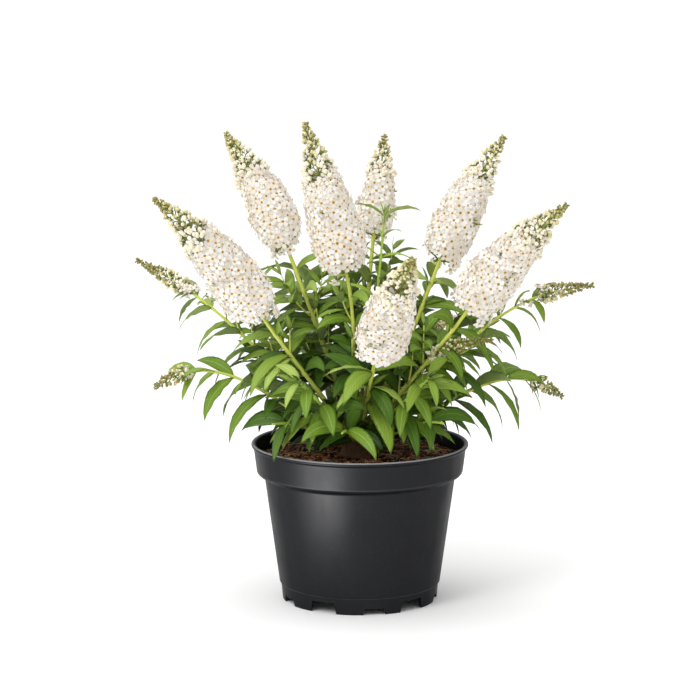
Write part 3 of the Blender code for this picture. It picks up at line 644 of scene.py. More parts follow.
def tube(centres, radii, sides, turn=0.0, side=None, closed=True):
    """Rings of corners round a line of centres, with quads between and a cap at each end."""
    centres = np.asarray(centres)
    along = np.gradient(centres, axis=0)
    along /= np.linalg.norm(along, axis=1)[:, None]
    side = np.array(side if side is not None else (0.31, 0.17, 0.93))
    first = side - along * (along @ side)[:, None]
    first /= np.linalg.norm(first, axis=1)[:, None]
    second = np.cross(along, first)
    angles = turn + math.tau * np.arange(sides) / sides
    spokes = first[:, None] * np.cos(angles)[:, None] + second[:, None] * np.sin(angles)[:, None]
    radii = np.asarray(radii)
    corners = (centres[:, None] + spokes * radii.reshape(len(centres), -1, 1)).reshape(-1, 3)
    ring = np.arange(sides)
    beside = (ring + 1) % sides
    faces = [np.stack([ring + sides * i, beside + sides * i, beside + sides * (i + 1),
                       ring + sides * (i + 1)], axis=1) for i in range(len(centres) - 1)]
    if closed:
        corners = np.concatenate([corners, centres[:1], centres[-1:]])
        foot, tip = len(corners) - 2, len(corners) - 1
        empty = np.full(sides, -1)
        last = sides * (len(centres) - 1)
        faces.append(np.stack([beside, ring, np.full(sides, foot), empty], axis=1))
        faces.append(np.stack([ring + last, beside + last, np.full(sides, tip), empty], axis=1))
    return corners, np.concatenate(faces)


fibre_heap = Heap([new_material("straw-coloured root fibre", "e6c39c", 0.8),
                   new_material("brown root fibre", "b47c4c", 0.8)])
for _ in range(FIBRE_COUNT):
    reach = (SOIL_RADIUS - 8 * MM) * math.sqrt(rng.uniform(0.1, 1))
    angle = rng.uniform(0, math.tau)
    x, y = reach * math.cos(angle), reach * math.sin(angle)
    heading = rng.uniform(0, math.tau)
    step = rng.uniform(*FIBRE_LENGTH) / FIBRE_STEPS
    points = []
    for _ in range(FIBRE_STEPS + 1):
        if math.hypot(x, y) > SOIL_RADIUS - 3 * MM:
            break
        points.append((x, y, soil_level(x, y) + rng.uniform(*FIBRE_HEIGHT) * MM))
        heading += rng.gauss(0, FIBRE_CURL)
        x += step * math.cos(heading)
        y += step * math.sin(heading)
    if len(points) > 3:
        strand, faces = tube(points, np.full(len(points), FIBRE_RADIUS), 3)
        fibre_heap.add(strand, faces, np.full(len(faces), rng.random() < BROWN_SHARE, dtype=int))
fibre_heap.settle("root_fibres", "compost")
print("laid", FIBRE_COUNT, "fibres")

# %% [markdown]
# Now the plant. Every shoot leaves the woody foot square to it, arches out, and ends where its
# blossom starts or, on a young shoot, in its youngest leaves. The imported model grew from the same
# table of shoots and the same rule, so stems, leaves and flowers made here land where the solids
# are. The first three numbers place the blossom's foot, and the rest give its aim and size.

# %% The shoots
Shoot = namedtuple("Shoot", "name heading reach height aim lean_foot lean_tip bloom girth")
SHOOTS = (
    Shoot("left_front", 212, 104, 270, 204, 35, 50, 144, 24.5),
    Shoot("left_tall", 160, 72, 322, 166, 22, 37, 113, 22),
    Shoot("middle_tall", 242, 28, 305, 200, 15, 17, 137, 24.5),
    Shoot("back_tall", 80, 76, 326, 61, 12, 15, 89, 17.5),
    Shoot("right_tall", 9, 74, 311, 10, 21, 35, 122, 22),
    Shoot("right_front", 335, 107, 274, 331, 36, 52, 134, 24.5),
    Shoot("front_middle", 282, 74, 238, 287, 41, 50, 138, 24),
    Shoot("back_left", 126, 117, 312, 132, 34, 48, 96, 19),
    Shoot("back_right", 48, 115, 303, 47, 36, 50, 96, 19),
    Shoot("back_middle", 96, 99, 292, 106, 35, 48, 110, 20),
    Shoot("left_back", 147, 107, 252, 142, 46, 60, 107, 21),
    Shoot("right_back", 30, 113, 258, 40, 46, 60, 100, 20),
    Shoot("far_left_high", 166, 160, 276, 164, 58, 66, 60, 7.5),
    Shoot("far_left_low", 189, 157, 212, 192, 100, 124, 36, 6.5),
    Shoot("far_right_high", 352, 163, 281, 345, 70, 82, 51, 7),
    Shoot("far_right_low", 7, 160, 196, 12, 108, 130, 34, 6.5),
    Shoot("back_right_low", 62, 146, 226, 64, 74, 92, 40, 6.5),
    Shoot("back_left_low", 112, 146, 222, 116, 74, 92, 40, 6.5),
    Shoot("young_middle", 58, 42, 346, 58, 8, 8, 0, 0),
    Shoot("young_front_left", 236, 96, 214, 230, 50, 50, 0, 0),
    Shoot("young_front_right", 309, 96, 216, 314, 50, 50, 0, 0),
    Shoot("skirt_left", 214, 94, 170, 210, 96, 96, 0, 0),
    Shoot("skirt_front", 259, 84, 168, 256, 96, 96, 0, 0),
    Shoot("skirt_right", 322, 94, 172, 328, 96, 96, 0, 0),
    Shoot("skirt_back_left", 136, 96, 170, 138, 96, 96, 0, 0),
    Shoot("skirt_back", 86, 94, 168, 84, 96, 96, 0, 0),
    Shoot("skirt_back_right", 38, 96, 172, 36, 96, 96, 0, 0),
)
SideSpike = namedtuple("SideSpike", "carrier share aim lean_foot lean_tip length girth")
SIDE_SPIKE = SideSpike("right_front", 0.62, 338, 60, 86, 60, 6)
LARGE_GIRTH = 12
print(len(SHOOTS), "shoots,", sum(shoot.girth > LARGE_GIRTH for shoot in SHOOTS), "with a long spike")

# %% [markdown]
# A stem is a curve in space, and leaves and flowers have to know where they stand on it. So a
# centre line is kept as a row of points with the distance at each, and can be asked for the place,
# the direction and a spoke square to it at any distance.

# %% A line that can be measured along
def pointing(heading, lean):
    """Unit vector at a heading from +X and a lean from upright, in degrees."""
    flat = math.sin(math.radians(lean))
    return Vector((flat * math.cos(math.radians(heading)), flat * math.sin(math.radians(heading)),
                   math.cos(math.radians(lean))))


class Route:
    """A smooth centre line, measured along its length, with a side vector for its rings."""

    def __init__(self, points, side):
        self.points = points
        self.side = side
        self.marks = [0.0]
        for here, there in zip(points, points[1:]):
            self.marks.append(self.marks[-1] + (there - here).length)
        self.length = self.marks[-1]

    def place(self, distance):
        """Point and direction at a distance; past an end the line runs on straight."""
        last = len(self.points) - 2
        i = next((i for i in range(last) if self.marks[i + 1] > distance), last)
        direction = (self.points[i + 1] - self.points[i]).normalized()
        return self.points[i] + direction * (distance - self.marks[i]), direction

    def spoke(self, distance, angle):
        """Unit vector square to the line at a distance, at an angle from its side vector."""
        direction = self.place(distance)[1]
        across = (self.side - direction * direction.dot(self.side)).normalized()
        return across * math.cos(angle) + direction.cross(across) * math.sin(angle)


print("a line that leans 30 degrees rises by", round(pointing(0, 30).z, 3))

# %% [markdown]
# The stems could be drawn by hand, but so many that may not touch are better worked out. Their
# directions at the foot are pushed apart until none crowd. Each stem then leaves the dome of the
# stump square to it, and arrives at its flower in the flower's own direction.

# %% Route the stems
stock_low, stock_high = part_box("rootstock")
STOCK_RADIUS = 17 * MM
STOCK_CENTRE = stock_high.z - STOCK_RADIUS
GAP = 0.3 * MM
DOME_LEAN = 78
START_ANGLE = 21
SETTLING_ROUNDS = 60
ROUTE_STEPS = 60
SPIKE_STEPS = 12
BOUGH_RADIUS = 2.0 * MM
YOUNG_RADIUS = 1.6 * MM
LARGE_TIP_RADIUS = 1.5 * MM
SMALL_TIP_RADIUS = 1.0 * MM
BOUGH_LENGTH = 36 * MM


def side_of(heading):
    return Vector((-math.sin(math.radians(heading)), math.cos(math.radians(heading)), 0))


def shoot_foot(shoot):
    angle = math.radians(shoot.heading)
    return Vector((shoot.reach * math.cos(angle), shoot.reach * math.sin(angle), shoot.height)) * MM


def start_directions():
    """One direction from the dome's centre for each shoot, pushed apart until none crowd."""
    centre = Vector((0, 0, STOCK_CENTRE))
    ways = [(shoot_foot(shoot) - centre).normalized() for shoot in SHOOTS]
    apart = math.radians(START_ANGLE)
    lowest = math.cos(math.radians(DOME_LEAN))
    for _ in range(SETTLING_ROUNDS):
        for i in range(len(ways)):
            for j in range(i):
                angle = ways[i].angle(ways[j])
                if angle < apart:
                    push = (ways[i] - ways[j]).normalized() * math.sin((apart - angle) / 2)
                    ways[i] = (ways[i] + push).normalized()
                    ways[j] = (ways[j] - push).normalized()
        for way in ways:
            way.z = max(way.z, lowest)
            way.normalize()
    return ways


def stem_route(shoot, way):
    """A smooth curve that leaves the dome square to it and meets the blossom in its direction."""
    start = Vector((0, 0, STOCK_CENTRE)) + way * (STOCK_RADIUS + GAP)
    end = shoot_foot(shoot)
    pull = (end - start).length
    away = way * pull
    arrive = pointing(shoot.aim, shoot.lean_foot) * pull
    points = []
    for i in range(ROUTE_STEPS + 1):
        t = i / ROUTE_STEPS
        points.append(start * (2 * t ** 3 - 3 * t ** 2 + 1) + away * (t ** 3 - 2 * t ** 2 + t)
                      + end * (3 * t ** 2 - 2 * t ** 3) + arrive * (t ** 3 - t ** 2))
    return Route(points, side_of(shoot.heading))


def spike_route(start, aim, lean_foot, lean_tip, length):
    """The blossom's centre line, which leans over more and more towards its tip."""
    points = [start.copy()]
    for i in range(SPIKE_STEPS):
        lean = lean_foot + (lean_tip - lean_foot) * (i + 0.5) / SPIKE_STEPS
        points.append(points[-1] + pointing(aim, lean) * (length / SPIKE_STEPS))
    return Route(points, side_of(aim))


def stem_radius(shoot, share):
    foot = BOUGH_RADIUS if shoot.bloom else YOUNG_RADIUS
    tip = LARGE_TIP_RADIUS if shoot.girth > LARGE_GIRTH else SMALL_TIP_RADIUS
    return foot + (tip - foot) * share


routes = {shoot.name: stem_route(shoot, way) for shoot, way in zip(SHOOTS, start_directions())}
print("the longest stem is", round(max(route.length for route in routes.values()) / MM), "mm")

# %% [markdown]
# The woody foot is what is left of older stems: a short, knobbly stump with flaking, ridged bark.
# It is drawn ring by ring from its flared foot to its domed top, and noise that is stretched along
# the stump gives the ridges real relief.

# %% The woody foot
STOCK_SIDES = 56
STOCK_FLARE = 20 * MM
RIDGE_WIDTH = 3.4 * MM
RIDGE_STRETCH = 0.25             # the noise is read this much slower up the stump
BARK_FIBRE = MM / 0.7
BARK_SQUEEZE = 0.2
stock_stations = [(STOCK_FLARE, stock_low.z), (18.2 * MM, stock_low.z + 2 * MM),
                  (17.2 * MM, stock_low.z + 5 * MM)]
stock_stations += [(STOCK_RADIUS * math.cos(a), STOCK_CENTRE + STOCK_RADIUS * math.sin(a))
                   for a in np.radians(np.arange(0, 86, 9))]
bpy.ops.object.select_all(action="DESELECT")
bpy.ops.mesh.primitive_circle_add(vertices=STOCK_SIDES, radius=STOCK_FLARE, location=(0, 0, stock_low.z))
stump = bpy.context.object
bpy.ops.object.transform_apply(location=True)
edit(stump)
bpy.ops.mesh.select_all(action="SELECT")
for here, there in zip(stock_stations, stock_stations[1:]):
    draw_ring(here, there)
bpy.ops.mesh.select_all(action="DESELECT")
bpy.ops.mesh.select_non_manifold()
bpy.ops.mesh.fill_holes(sides=0)
bpy.ops.mesh.select_all(action="SELECT")
bpy.ops.mesh.normals_make_consistent(inside=False)
leave()
for corner in stump.data.vertices:
    if corner.co.z > stock_low.z + 0.5 * MM:
        outward = (corner.co - Vector((0, 0, STOCK_CENTRE - 8 * MM))).normalized()
        along_ridges = Vector((corner.co.x, corner.co.y, corner.co.z * RIDGE_STRETCH))
        ridges = noise.turbulence(along_ridges / RIDGE_WIDTH, 3, False)
        corner.co += outward * (ridges * 1.6 - 1.1) * MM
stump.data.shade_smooth()


def woody(name, dark, light):
    """Fibrous bark: stretched noise for colour and for the bump."""
    bark = new_material(name, light, 0.85, IOR=1.45)
    fibres = grains(bark, BARK_FIBRE, 5, 0.6, BARK_SQUEEZE)
    feed(bark, "Base Color", blend(bark, fibres, dark, light))
    feed(bark, "Normal", bump(bark, fibres, 0.8, 0.5 * MM))
    return bark


stump.data.materials.append(woody("flaking stem bark", "3d2b1d", "8c6c4a"))
settle_piece(stump, "woody_foot", "bark", "rootstock")

# %% [markdown]
# The leaves stand in pairs, and the stem is thicker at each pair, so their places are worked out
# before the stems are drawn. Pairs are close together low down and wider apart near the flowers,
# and the neck under a long spike is bare.

# %% Where the pairs of leaves stand
LEAF_SPACING = 13.5 * MM
UPPER_SPACING = 23 * MM          # along the upper part of a stem with a long spike
UPPER_SHARE = 0.5
THIN_SPACING = 17.5 * MM         # on the thin outer stems
THIN_SHARE = 0.45
FIRST_PAIR = 5 * MM
LAST_PAIR = 9 * MM
BARE_NECK = 26 * MM              # the bare stem under a long spike
YOUNG_FOOT = 12 * MM
YOUNG_TIP = 1 * MM
SKIRT_BARE = 16 * MM
SLENDER = "young_middle"
SLENDER_SPACING = 19 * MM
PAIR_WANDER = 0.25


def pair_distances(shoot, route):
    """Distances along a stem at which a pair of leaves stands, from the tip down."""
    first = BOUGH_LENGTH + FIRST_PAIR if shoot.bloom else YOUNG_FOOT
    large = shoot.girth > LARGE_GIRTH
    if large:
        bare, spacing, spaced_from = BARE_NECK, UPPER_SPACING, UPPER_SHARE
    elif shoot.bloom:
        bare, spacing, spaced_from = LAST_PAIR, THIN_SPACING, THIN_SHARE
    elif shoot.name == SLENDER:
        bare, spacing, spaced_from = YOUNG_TIP, SLENDER_SPACING, 0
    else:
        bare = SKIRT_BARE if shoot.name.startswith("skirt") else YOUNG_TIP
        spacing, spaced_from = LEAF_SPACING, 0
    distance = route.length - bare
    distances = []
    while distance > first:
        distances.append(distance)
        distance -= spacing if distance > spaced_from * route.length else LEAF_SPACING
    return distances


pairs = {shoot.name: pair_distances(shoot, routes[shoot.name]) for shoot in SHOOTS}
print(sum(map(len, pairs.values())), "pairs of main leaves")

# %% [markdown]
# A young butterfly bush stem is yellow-green, four-angled rather than round, and swollen at each
# joint where a pair of leaves stands. Towards the foot it turns brown as it hardens. A tube with a
# ring every few millimetres can carry all of that: four soft ridges come from the angle round the
# stem, and the joints from the distance along it.

# %% Draw the stems
RING_STEP = 3.5 * MM
STEM_SIDES = 10
RIDGE = 0.09
JOINT_SWELL = 0.45 * MM
JOINT_LENGTH = 2.4 * MM
WOODY_STRETCH = 14 * MM
RIPENING_STRETCH = 40 * MM
YOUNG_SHARE = 0.6                # from here on a shoot without a flower is soft and young
COLLAR = 1.1 * MM                # how much thicker a stem is where it leaves the stump
COLLAR_LENGTH = 5 * MM
STEM_GRAIN = MM / 0.9


def stem_material(name, hex_colour, roughness):
    """Green bark keeps a plain colour; its fine grain and soft shine are in the nodes."""
    stem = new_material(name, hex_colour, roughness, IOR=1.45)
    specks = grains(stem, STEM_GRAIN, 3)
    feed(stem, "Roughness", remap(stem, specks, roughness - 0.1, roughness + 0.1))
    feed(stem, "Normal", bump(stem, specks, 0.35, 0.2 * MM))
    return stem


def draw_stem(heap, shoot):
    route = routes[shoot.name]
    count = max(8, int(route.length / RING_STEP))
    distances = np.linspace(0, route.length, count)
    joints = np.array(pairs[shoot.name])
    swell = np.exp(-((distances[:, None] - joints) / JOINT_LENGTH) ** 2).sum(axis=1) * JOINT_SWELL
    radii = np.array([stem_radius(shoot, d / route.length) for d in distances]) + swell
    radii += COLLAR * np.exp(-distances / COLLAR_LENGTH)
    angles = math.tau * np.arange(STEM_SIDES) / STEM_SIDES
    relief = 1 + RIDGE * np.cos(4 * angles)
    centres = [route.place(d)[0] for d in distances]
    corners, faces = tube(centres, radii[:, None] * relief, STEM_SIDES, side=route.side)
    ring_of = np.clip(faces[:, 0] // STEM_SIDES, 0, count - 1)
    along = distances[ring_of]
    looks = np.where(along < WOODY_STRETCH, 0, np.where(along < RIPENING_STRETCH, 1, 2))
    if not shoot.bloom:
        looks = np.where(along > YOUNG_SHARE * route.length, 3, looks)
    heap.add(corners, faces, looks)


stem_heap = Heap([stem_material("young brown bark", "8a7a3c", 0.7),
                  stem_material("ripening green stem", "b2bb48", 0.55),
                  stem_material("yellow-green stem", "cdd65c", 0.5),
                  stem_material("soft young stem", "bcd858", 0.5)])
for shoot in SHOOTS:
    draw_stem(stem_heap, shoot)
stem_names = [shoot.name + "_stem" for shoot in SHOOTS if shoot.bloom]
stem_heap.settle("leafy_stems", "green_stem", *stem_names)
print("drew", len(SHOOTS), "stems")

# %% [markdown]
# A butterfly bush leaf is lance-shaped, thin and a little folded along its midrib, with a paler
# underside. The blank is a flat grid: the strip in the middle becomes the midrib, a second layer
# becomes the underside, and the two are closed along the edge. Two blanks are enough, a finer one
# for the main leaves and a plain one for the small leaves of the side shoots.

# %% Model the two leaf blanks
UPPER, RIB, UNDER = range(3)
RIB_HALF = 0.05


def at_edge(corner):
    return abs(corner.x) > 0.99 or abs(corner.y) > 0.99


def model_leaf_blank(strips, rows):
    """A flat leaf, 2 units wide and long, with a midrib strip and a closed underside."""
    bpy.ops.object.select_all(action="DESELECT")
    bpy.ops.mesh.primitive_grid_add(x_subdivisions=strips, y_subdivisions=rows, size=2)
    blank = bpy.context.object
    pick(blank, lambda corner: abs(corner.x) < 1.1 / strips)
    bpy.ops.transform.resize(value=(RIB_HALF * strips, 1, 1), center_override=(0, 0, 0))
    bpy.ops.mesh.select_all(action="SELECT")
    bpy.ops.mesh.duplicate()
    bpy.ops.mesh.flip_normals()
    bpy.ops.transform.translate(value=(0, 0, -1))
    leave()
    for face in blank.data.polygons:
        near_middle = all(abs(blank.data.vertices[i].co.x) < 0.1 for i in face.vertices)
        face.material_index = UNDER if face.center.z < -0.5 else RIB if near_middle else UPPER
    pick(blank, lambda corner: corner.z < -0.5 and at_edge(corner))
    bpy.ops.transform.translate(value=(0, 0, 1))
    bpy.ops.mesh.select_all(action="SELECT")
    bpy.ops.mesh.remove_doubles(threshold=0.001)
    leave()
    return read_pattern(blank)


LEAF_BLANK = model_leaf_blank(5, 8)
SMALL_BLANK = model_leaf_blank(3, 4)
print("a leaf has", len(LEAF_BLANK.faces), "faces, a small one", len(SMALL_BLANK.faces))

# %% [markdown]
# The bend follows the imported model's rule: a leaf leaves its stem at an angle, turns its face to
# the open side, and droops more and more towards its tip. The direction turns evenly along the leaf,
# so the middle line is an arc of a circle and can be written down at once.

# %% Bend a leaf
LEAF_LEVELLING = 0.72
LEAF_STEEPEST = 82
LEAF_THICKNESS = 0.35 * MM
GROOVE = 0.35 * MM
WIDEST_POWER = 0.84
OUTLINE_POWER = 0.92


def leaf_outline(share):
    """Half width, from 0 to 1, along the leaf: widest a little before its middle, with a long point."""
    return np.maximum(np.sin(np.pi * share ** WIDEST_POWER) ** OUTLINE_POWER, 0.045 * (1.2 - share))


def bend_leaf(blank, root, start, across, light, length, width, droop, fold, ripple, phase):
    level = start.cross(UP)
    level = across.copy() if level.length < 0.05 else level.normalized()
    side = np.array((across * (1 - LEAF_LEVELLING) + start.cross(light) * LEAF_LEVELLING).normalized())
    rise = math.asin(max(-1, min(1, start.z)))
    bend = max(0.05, min(droop, rise + math.radians(LEAF_STEEPEST)))
    down = np.array(level.cross(start))
    start = np.array(start)
    over = blank.corners[:, 0]
    share = np.clip((blank.corners[:, 1] + 1) / 2, 0, 1)
    angle = bend * share
    direction = start * np.cos(angle)[:, None] - down * np.sin(angle)[:, None]
    middle = (start * (np.sin(angle) / bend)[:, None] - down * ((1 - np.cos(angle)) / bend)[:, None]) * length
    edge = side - direction * (direction @ side)[:, None]
    edge /= np.linalg.norm(edge, axis=1)[:, None]
    face = np.cross(edge, direction)
    half = width / 2 * leaf_outline(share)
    lift = np.abs(over) * half * math.tan(fold) - over ** 2 * half * 0.22
    lift += ripple * np.sin(math.tau * 3.5 * share + phase + over) * np.abs(over) * np.sin(np.pi * share)
    lift -= GROOVE * (np.abs(over) < 0.1) * (1 - 0.6 * share)
    lift += blank.corners[:, 2] * LEAF_THICKNESS * (1 + (np.abs(over) < 0.1) * (1 - share))
    return np.array(root) + middle + edge * (over * half)[:, None] + face * lift[:, None]


def leaf_map(blank):
    """Across and along a leaf, from 0 to 1, for the veins."""
    return (blank.corners[:, :2] + 1) / 2


def coarse_leaf():
    """A sheet of eight faces from a little way out to the tip, to test for crossings."""
    shares = (0.14, 0.36, 0.6, 0.84, 1)
    corners = [(over, 2 * share - 1, 0) for share in shares for over in (-1, 0, 1)]
    faces = [(i, i + 1, i + 4, i + 3) for row in range(4) for i in (3 * row, 3 * row + 1)]
    return Pattern(np.array(corners), np.array(faces), None)


COARSE = coarse_leaf()
print("leaves bend", LEAF_STEEPEST, "degrees below level at most")

# %% [markdown]
# The leaf's colour changes from leaf to leaf, not within one leaf: deep green inside the bush is
# painted shade, fresh mid-green and pale sunlit green outside are painted light, and bright
# yellow-green on the youngest shoots is their own colour. Each is a material of its own with a plain
# colour. The veins run forward from the midrib, and a sine along that slant presses them in; the
# soft down of the leaf makes its shine uneven.

# %% Leaf materials
VEINS = 11
VEIN_SLANT = 0.55
PUCKER = MM / 0.62


def leaf_material(name, hex_colour, roughness, depth):
    leaf = new_material(name, hex_colour, roughness, IOR=1.4, Specular_IOR_Level=0.35)
    spot = add_node(leaf, "ShaderNodeUVMap", uv_map="leaf_map")
    parts = add_node(leaf, "ShaderNodeSeparateXYZ", {}, {0: spot.outputs["UV"]})
    from_rib = combine(leaf, "ABSOLUTE", combine(leaf, "SUBTRACT", parts.outputs["X"], 0.5))
    slant = combine(leaf, "MULTIPLY_ADD", from_rib, -VEIN_SLANT, parts.outputs["Y"])
    veins = combine(leaf, "SINE", combine(leaf, "MULTIPLY", slant, math.tau * VEINS))
    down = grains(leaf, PUCKER, 3)
    puckers = bump(leaf, down, 0.7, 0.45 * MM)
    feed(leaf, "Roughness", remap(leaf, down, roughness - 0.1, roughness + 0.12))
    feed(leaf, "Normal", bump(leaf, veins, 0.5, depth, puckers))
    return leaf


# The six upper greens, with the midribs and undersides that go with them, are steps of painted shade and
# light from deep inside the bush to its sunlit outside; only the youngest green is the leaves' own colour.
UPPERS = [leaf_material(*row, 0.44, 0.2 * MM) for row in (
    ("leaf in deep painted shade", "284508"), ("shaded leaf", "476a13"), ("grown leaf", "6a8a22"),
    ("sunlit leaf", "829f34"), ("pale sunlit leaf", "9db652"), ("youngest leaf", "aecb4a"))]
RIBS = [leaf_material(*row, 0.5, 0.05 * MM) for row in (
    ("midrib in shade", "63802a"), ("midrib", "92ab4c"), ("pale midrib", "b3c96a"))]
UNDERS = [leaf_material(*row, 0.7, 0.12 * MM) for row in (
    ("underside in shade", "5e7434"), ("downy underside", "8ba05a"), ("sunlit and young underside", "a8bc6a"))]
LEAF_MATERIALS = UPPERS + RIBS + UNDERS


def leaf_looks(blank, shade):
    """Material numbers of one leaf, for a shade from 0, deep in the bush, to 5, youngest; the steps below 5
    are painted shade and light.
    """
    third = min(2, shade // 2)
    chosen = np.array([shade, len(UPPERS) + third, len(UPPERS) + len(RIBS) + third])
    return chosen[blank.looks]


print(len(LEAF_MATERIALS), "leaf materials")

# %% [markdown]
# Leaves may touch but don't pass through each other, the stems or the pot. Every shape that is
# already there is kept in cells of space with a search tree. A new leaf first tries its own place
# as a coarse sheet, then turns aside or grows smaller, and is left out at last. The flowers aren't
# there yet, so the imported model's spikes stand in for them.

# %% What a leaf must keep clear of
CELL = 22 * MM
LOWEST_LEAF = 140.5 * MM
WIDEST_LEAF = 207 * MM
DEEPEST_LEAF = 168 * MM


class Crowd:
    """Search trees of all that has grown, filed by the cells of space that they reach into."""

    def __init__(self):
        self.cells = {}
        self.trees = []

    def reach(self, corners):
        low = np.floor(corners.min(axis=0) / CELL).astype(int)
        high = np.floor(corners.max(axis=0) / CELL).astype(int)
        return [(x, y, z) for x in range(low[0], high[0] + 1) for y in range(low[1], high[1] + 1)
                for z in range(low[2], high[2] + 1)]

    def tree(self, corners, faces):
        outlines = [[i for i in face if i >= 0] for face in faces.tolist()]
        return BVHTree.FromPolygons((corners / MM).tolist(), outlines)

    def add(self, corners, faces, tree=None):
        number = len(self.trees)
        self.trees.append(tree or self.tree(corners, faces))
        for cell in self.reach(corners):
            self.cells.setdefault(cell, []).append(number)

    def add_mesh(self, thing):
        turn = thing.matrix_world
        corners = np.array([turn @ corner.co for corner in thing.data.vertices])
        faces = np.array([list(face.vertices) + [-1] * (4 - len(face.vertices))
                          for face in thing.data.polygons if len(face.vertices) < 5])
        self.add(corners, faces)

    def try_to_add(self, corners, faces):
        """Adds a shape if it crosses nothing, and says whether it did."""
        low, high = corners.min(axis=0), corners.max(axis=0)
        too_wide = max(high[0], -low[0]) > WIDEST_LEAF or max(high[1], -low[1]) > DEEPEST_LEAF
        if low[2] < LOWEST_LEAF or too_wide:
            return False
        tree = self.tree(corners, faces)
        near = {number for cell in self.reach(corners) for number in self.cells.get(cell, ())}
        if any(tree.overlap(self.trees[number]) for number in near):
            return False
        self.add(corners, faces, tree)
        return True


crowd = Crowd()
for thing in (pot, compost, stump):
    crowd.add_mesh(thing)
for shoot in SHOOTS:
    if shoot.girth > LARGE_GIRTH:
        crowd.add_mesh(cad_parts[shoot.name + "_blossom"])
    route = routes[shoot.name]
    for near, far in ((k / 6, (k + 1) / 6) for k in range(6)):
        centres = [route.place(route.length * t)[0] for t in np.linspace(near, far, 4)]
        crowd.add(*tube(centres, np.full(4, stem_radius(shoot, near)), 5, side=route.side))
print(len(crowd.trees), "things stand before the first leaf")

# %% [markdown]
# The front stems are plain to see on the real plant, because its best side is turned to the front.
# So from a certain share of its length on, each of those stems has an unseen sheet that reaches
# towards the viewer. The sheets stand only in the crowd, where they keep leaves off the stems.

# %% Keep the front stems in view
CURTAINS = {"left_front": 0.3, "right_front": 0.32, "front_middle": 0.4, "middle_tall": 0.45,
            "left_tall": 0.55, "right_tall": 0.6}
CURTAIN_DEPTH = 90 * MM
CURTAIN_RISE = 0.17
CURTAIN_POINTS = 7


def hang_curtain(route, first):
    """An unseen sheet from a stem towards the viewer, so that no leaf grows across the stem."""
    near = [route.place(route.length * t)[0] for t in np.linspace(first, 1, CURTAIN_POINTS)]
    ahead = Vector((0, -1, CURTAIN_RISE)) * CURTAIN_DEPTH
    corners = np.array([point + ahead * k for point in near for k in (0.06, 1)])
    return corners, np.array([(i, i + 1, i + 3, i + 2) for i in range(0, 2 * CURTAIN_POINTS - 2, 2)])


for name, first in CURTAINS.items():
    crowd.add(*hang_curtain(routes[name], first))
print(len(CURTAINS), "stems are kept in view")

# %% [markdown]
# Every leaf on a shoot is made by one function. It turns the leaf's face up and to the open side,
# tries it against the crowd, and puts it into a heap. How light its green is comes from how far
# out it stands, which is painted light and shade, and from how young it is.

# %% One leaf on its shoot
LEAF_LENGTH = (46 * MM, 64 * MM)
LEAF_SLIMNESS = (0.235, 0.295)
SLENDER_LENGTH = (32 * MM, 42 * MM)
SLENDER_WIDTH = 0.6
LEAF_ANGLE = (40, 62)
LEAF_DROOP = (55, 105)
TIP_LEAF_SHARE = 0.6             # how long the last leaves are beside the longest
THIN_TIP_SHARE = 0.4             # the same on the thin outer stems
SKIRT_GROWTH = 0.95
# Painted shade: the lowest leaves are held to the darker greens.
SKIRT_SHADE = 2                  # the lowest leaves are never of the lightest greens
LEAF_TRIES = ((0, 1), (24, 1), (-24, 1), (0, 0.8), (40, 0.8), (-40, 0.8), (0, 0.65), (60, 0.6), (-60, 0.6))
rng = random.Random(SEED + 1)
leaf_heap = Heap(LEAF_MATERIALS)
small_heap = Heap(LEAF_MATERIALS)
twig_heap = Heap(stem_heap.materials)
CROWN_MIDDLE = Vector((0, 0, 150 * MM))
CROWN_REACH = 200 * MM
BACK_FROM = 30 * MM              # leaves further back than this turn to the back
LEAF_FOLD = (6, 22)
LEAF_RIPPLE = (0.3, 1.0)


def painted_shade_and_age(spot, age_share):
    """How light a spray is: painted light outside and at the top and painted shade inside, lightest on young
    growth.
    """
    out = (spot - CROWN_MIDDLE).length / CROWN_REACH
    return int(max(0, min(4, round(0.2 + 3.1 * out + 1.6 * age_share + rng.gauss(0, 0.6)))))


def open_side(spot):
    """Where a leaf turns its face: up, outward, and to the nearer of front and back."""
    outward = Vector((spot.x, spot.y, 0)).normalized()
    nearer = Vector((0, -1 if spot.y < BACK_FROM else 1, 0))
    jitter = Vector((rng.gauss(0, 0.25), rng.gauss(0, 0.25), 0))
    return (UP * 0.75 + outward * 0.3 + nearer * 0.55 + jitter).normalized()


def grow_leaf(route, distance, turn, angle, length, droop, shade, heap=None, blank=LEAF_BLANK,
              tries=LEAF_TRIES, slim=1.0):
    """Adds one leaf where there is room for it, turned or smaller if it must be, and says if so."""
    root, along = route.place(distance)
    light = open_side(root)
    width = length * rng.uniform(*LEAF_SLIMNESS) * slim
    fold = math.radians(rng.uniform(*LEAF_FOLD))
    ripple = rng.uniform(*LEAF_RIPPLE) * MM * length / LEAF_LENGTH[1]
    phase = rng.uniform(0, math.tau)
    for extra, size in tries:
        spoke = route.spoke(distance, turn + math.radians(extra))
        start = along * math.cos(angle) + spoke * math.sin(angle)
        shape = (root, start, spoke.cross(along), light, length * size, width * size, droop * size, fold,
                 ripple * size, phase)
        if crowd.try_to_add(bend_leaf(COARSE, *shape), COARSE.faces):
            heap = heap or leaf_heap
            heap.add(bend_leaf(blank, *shape), blank.faces, leaf_looks(blank, shade), leaf_map(blank))
            return True
    return False


print("a leaf has", len(LEAF_TRIES), "tries")
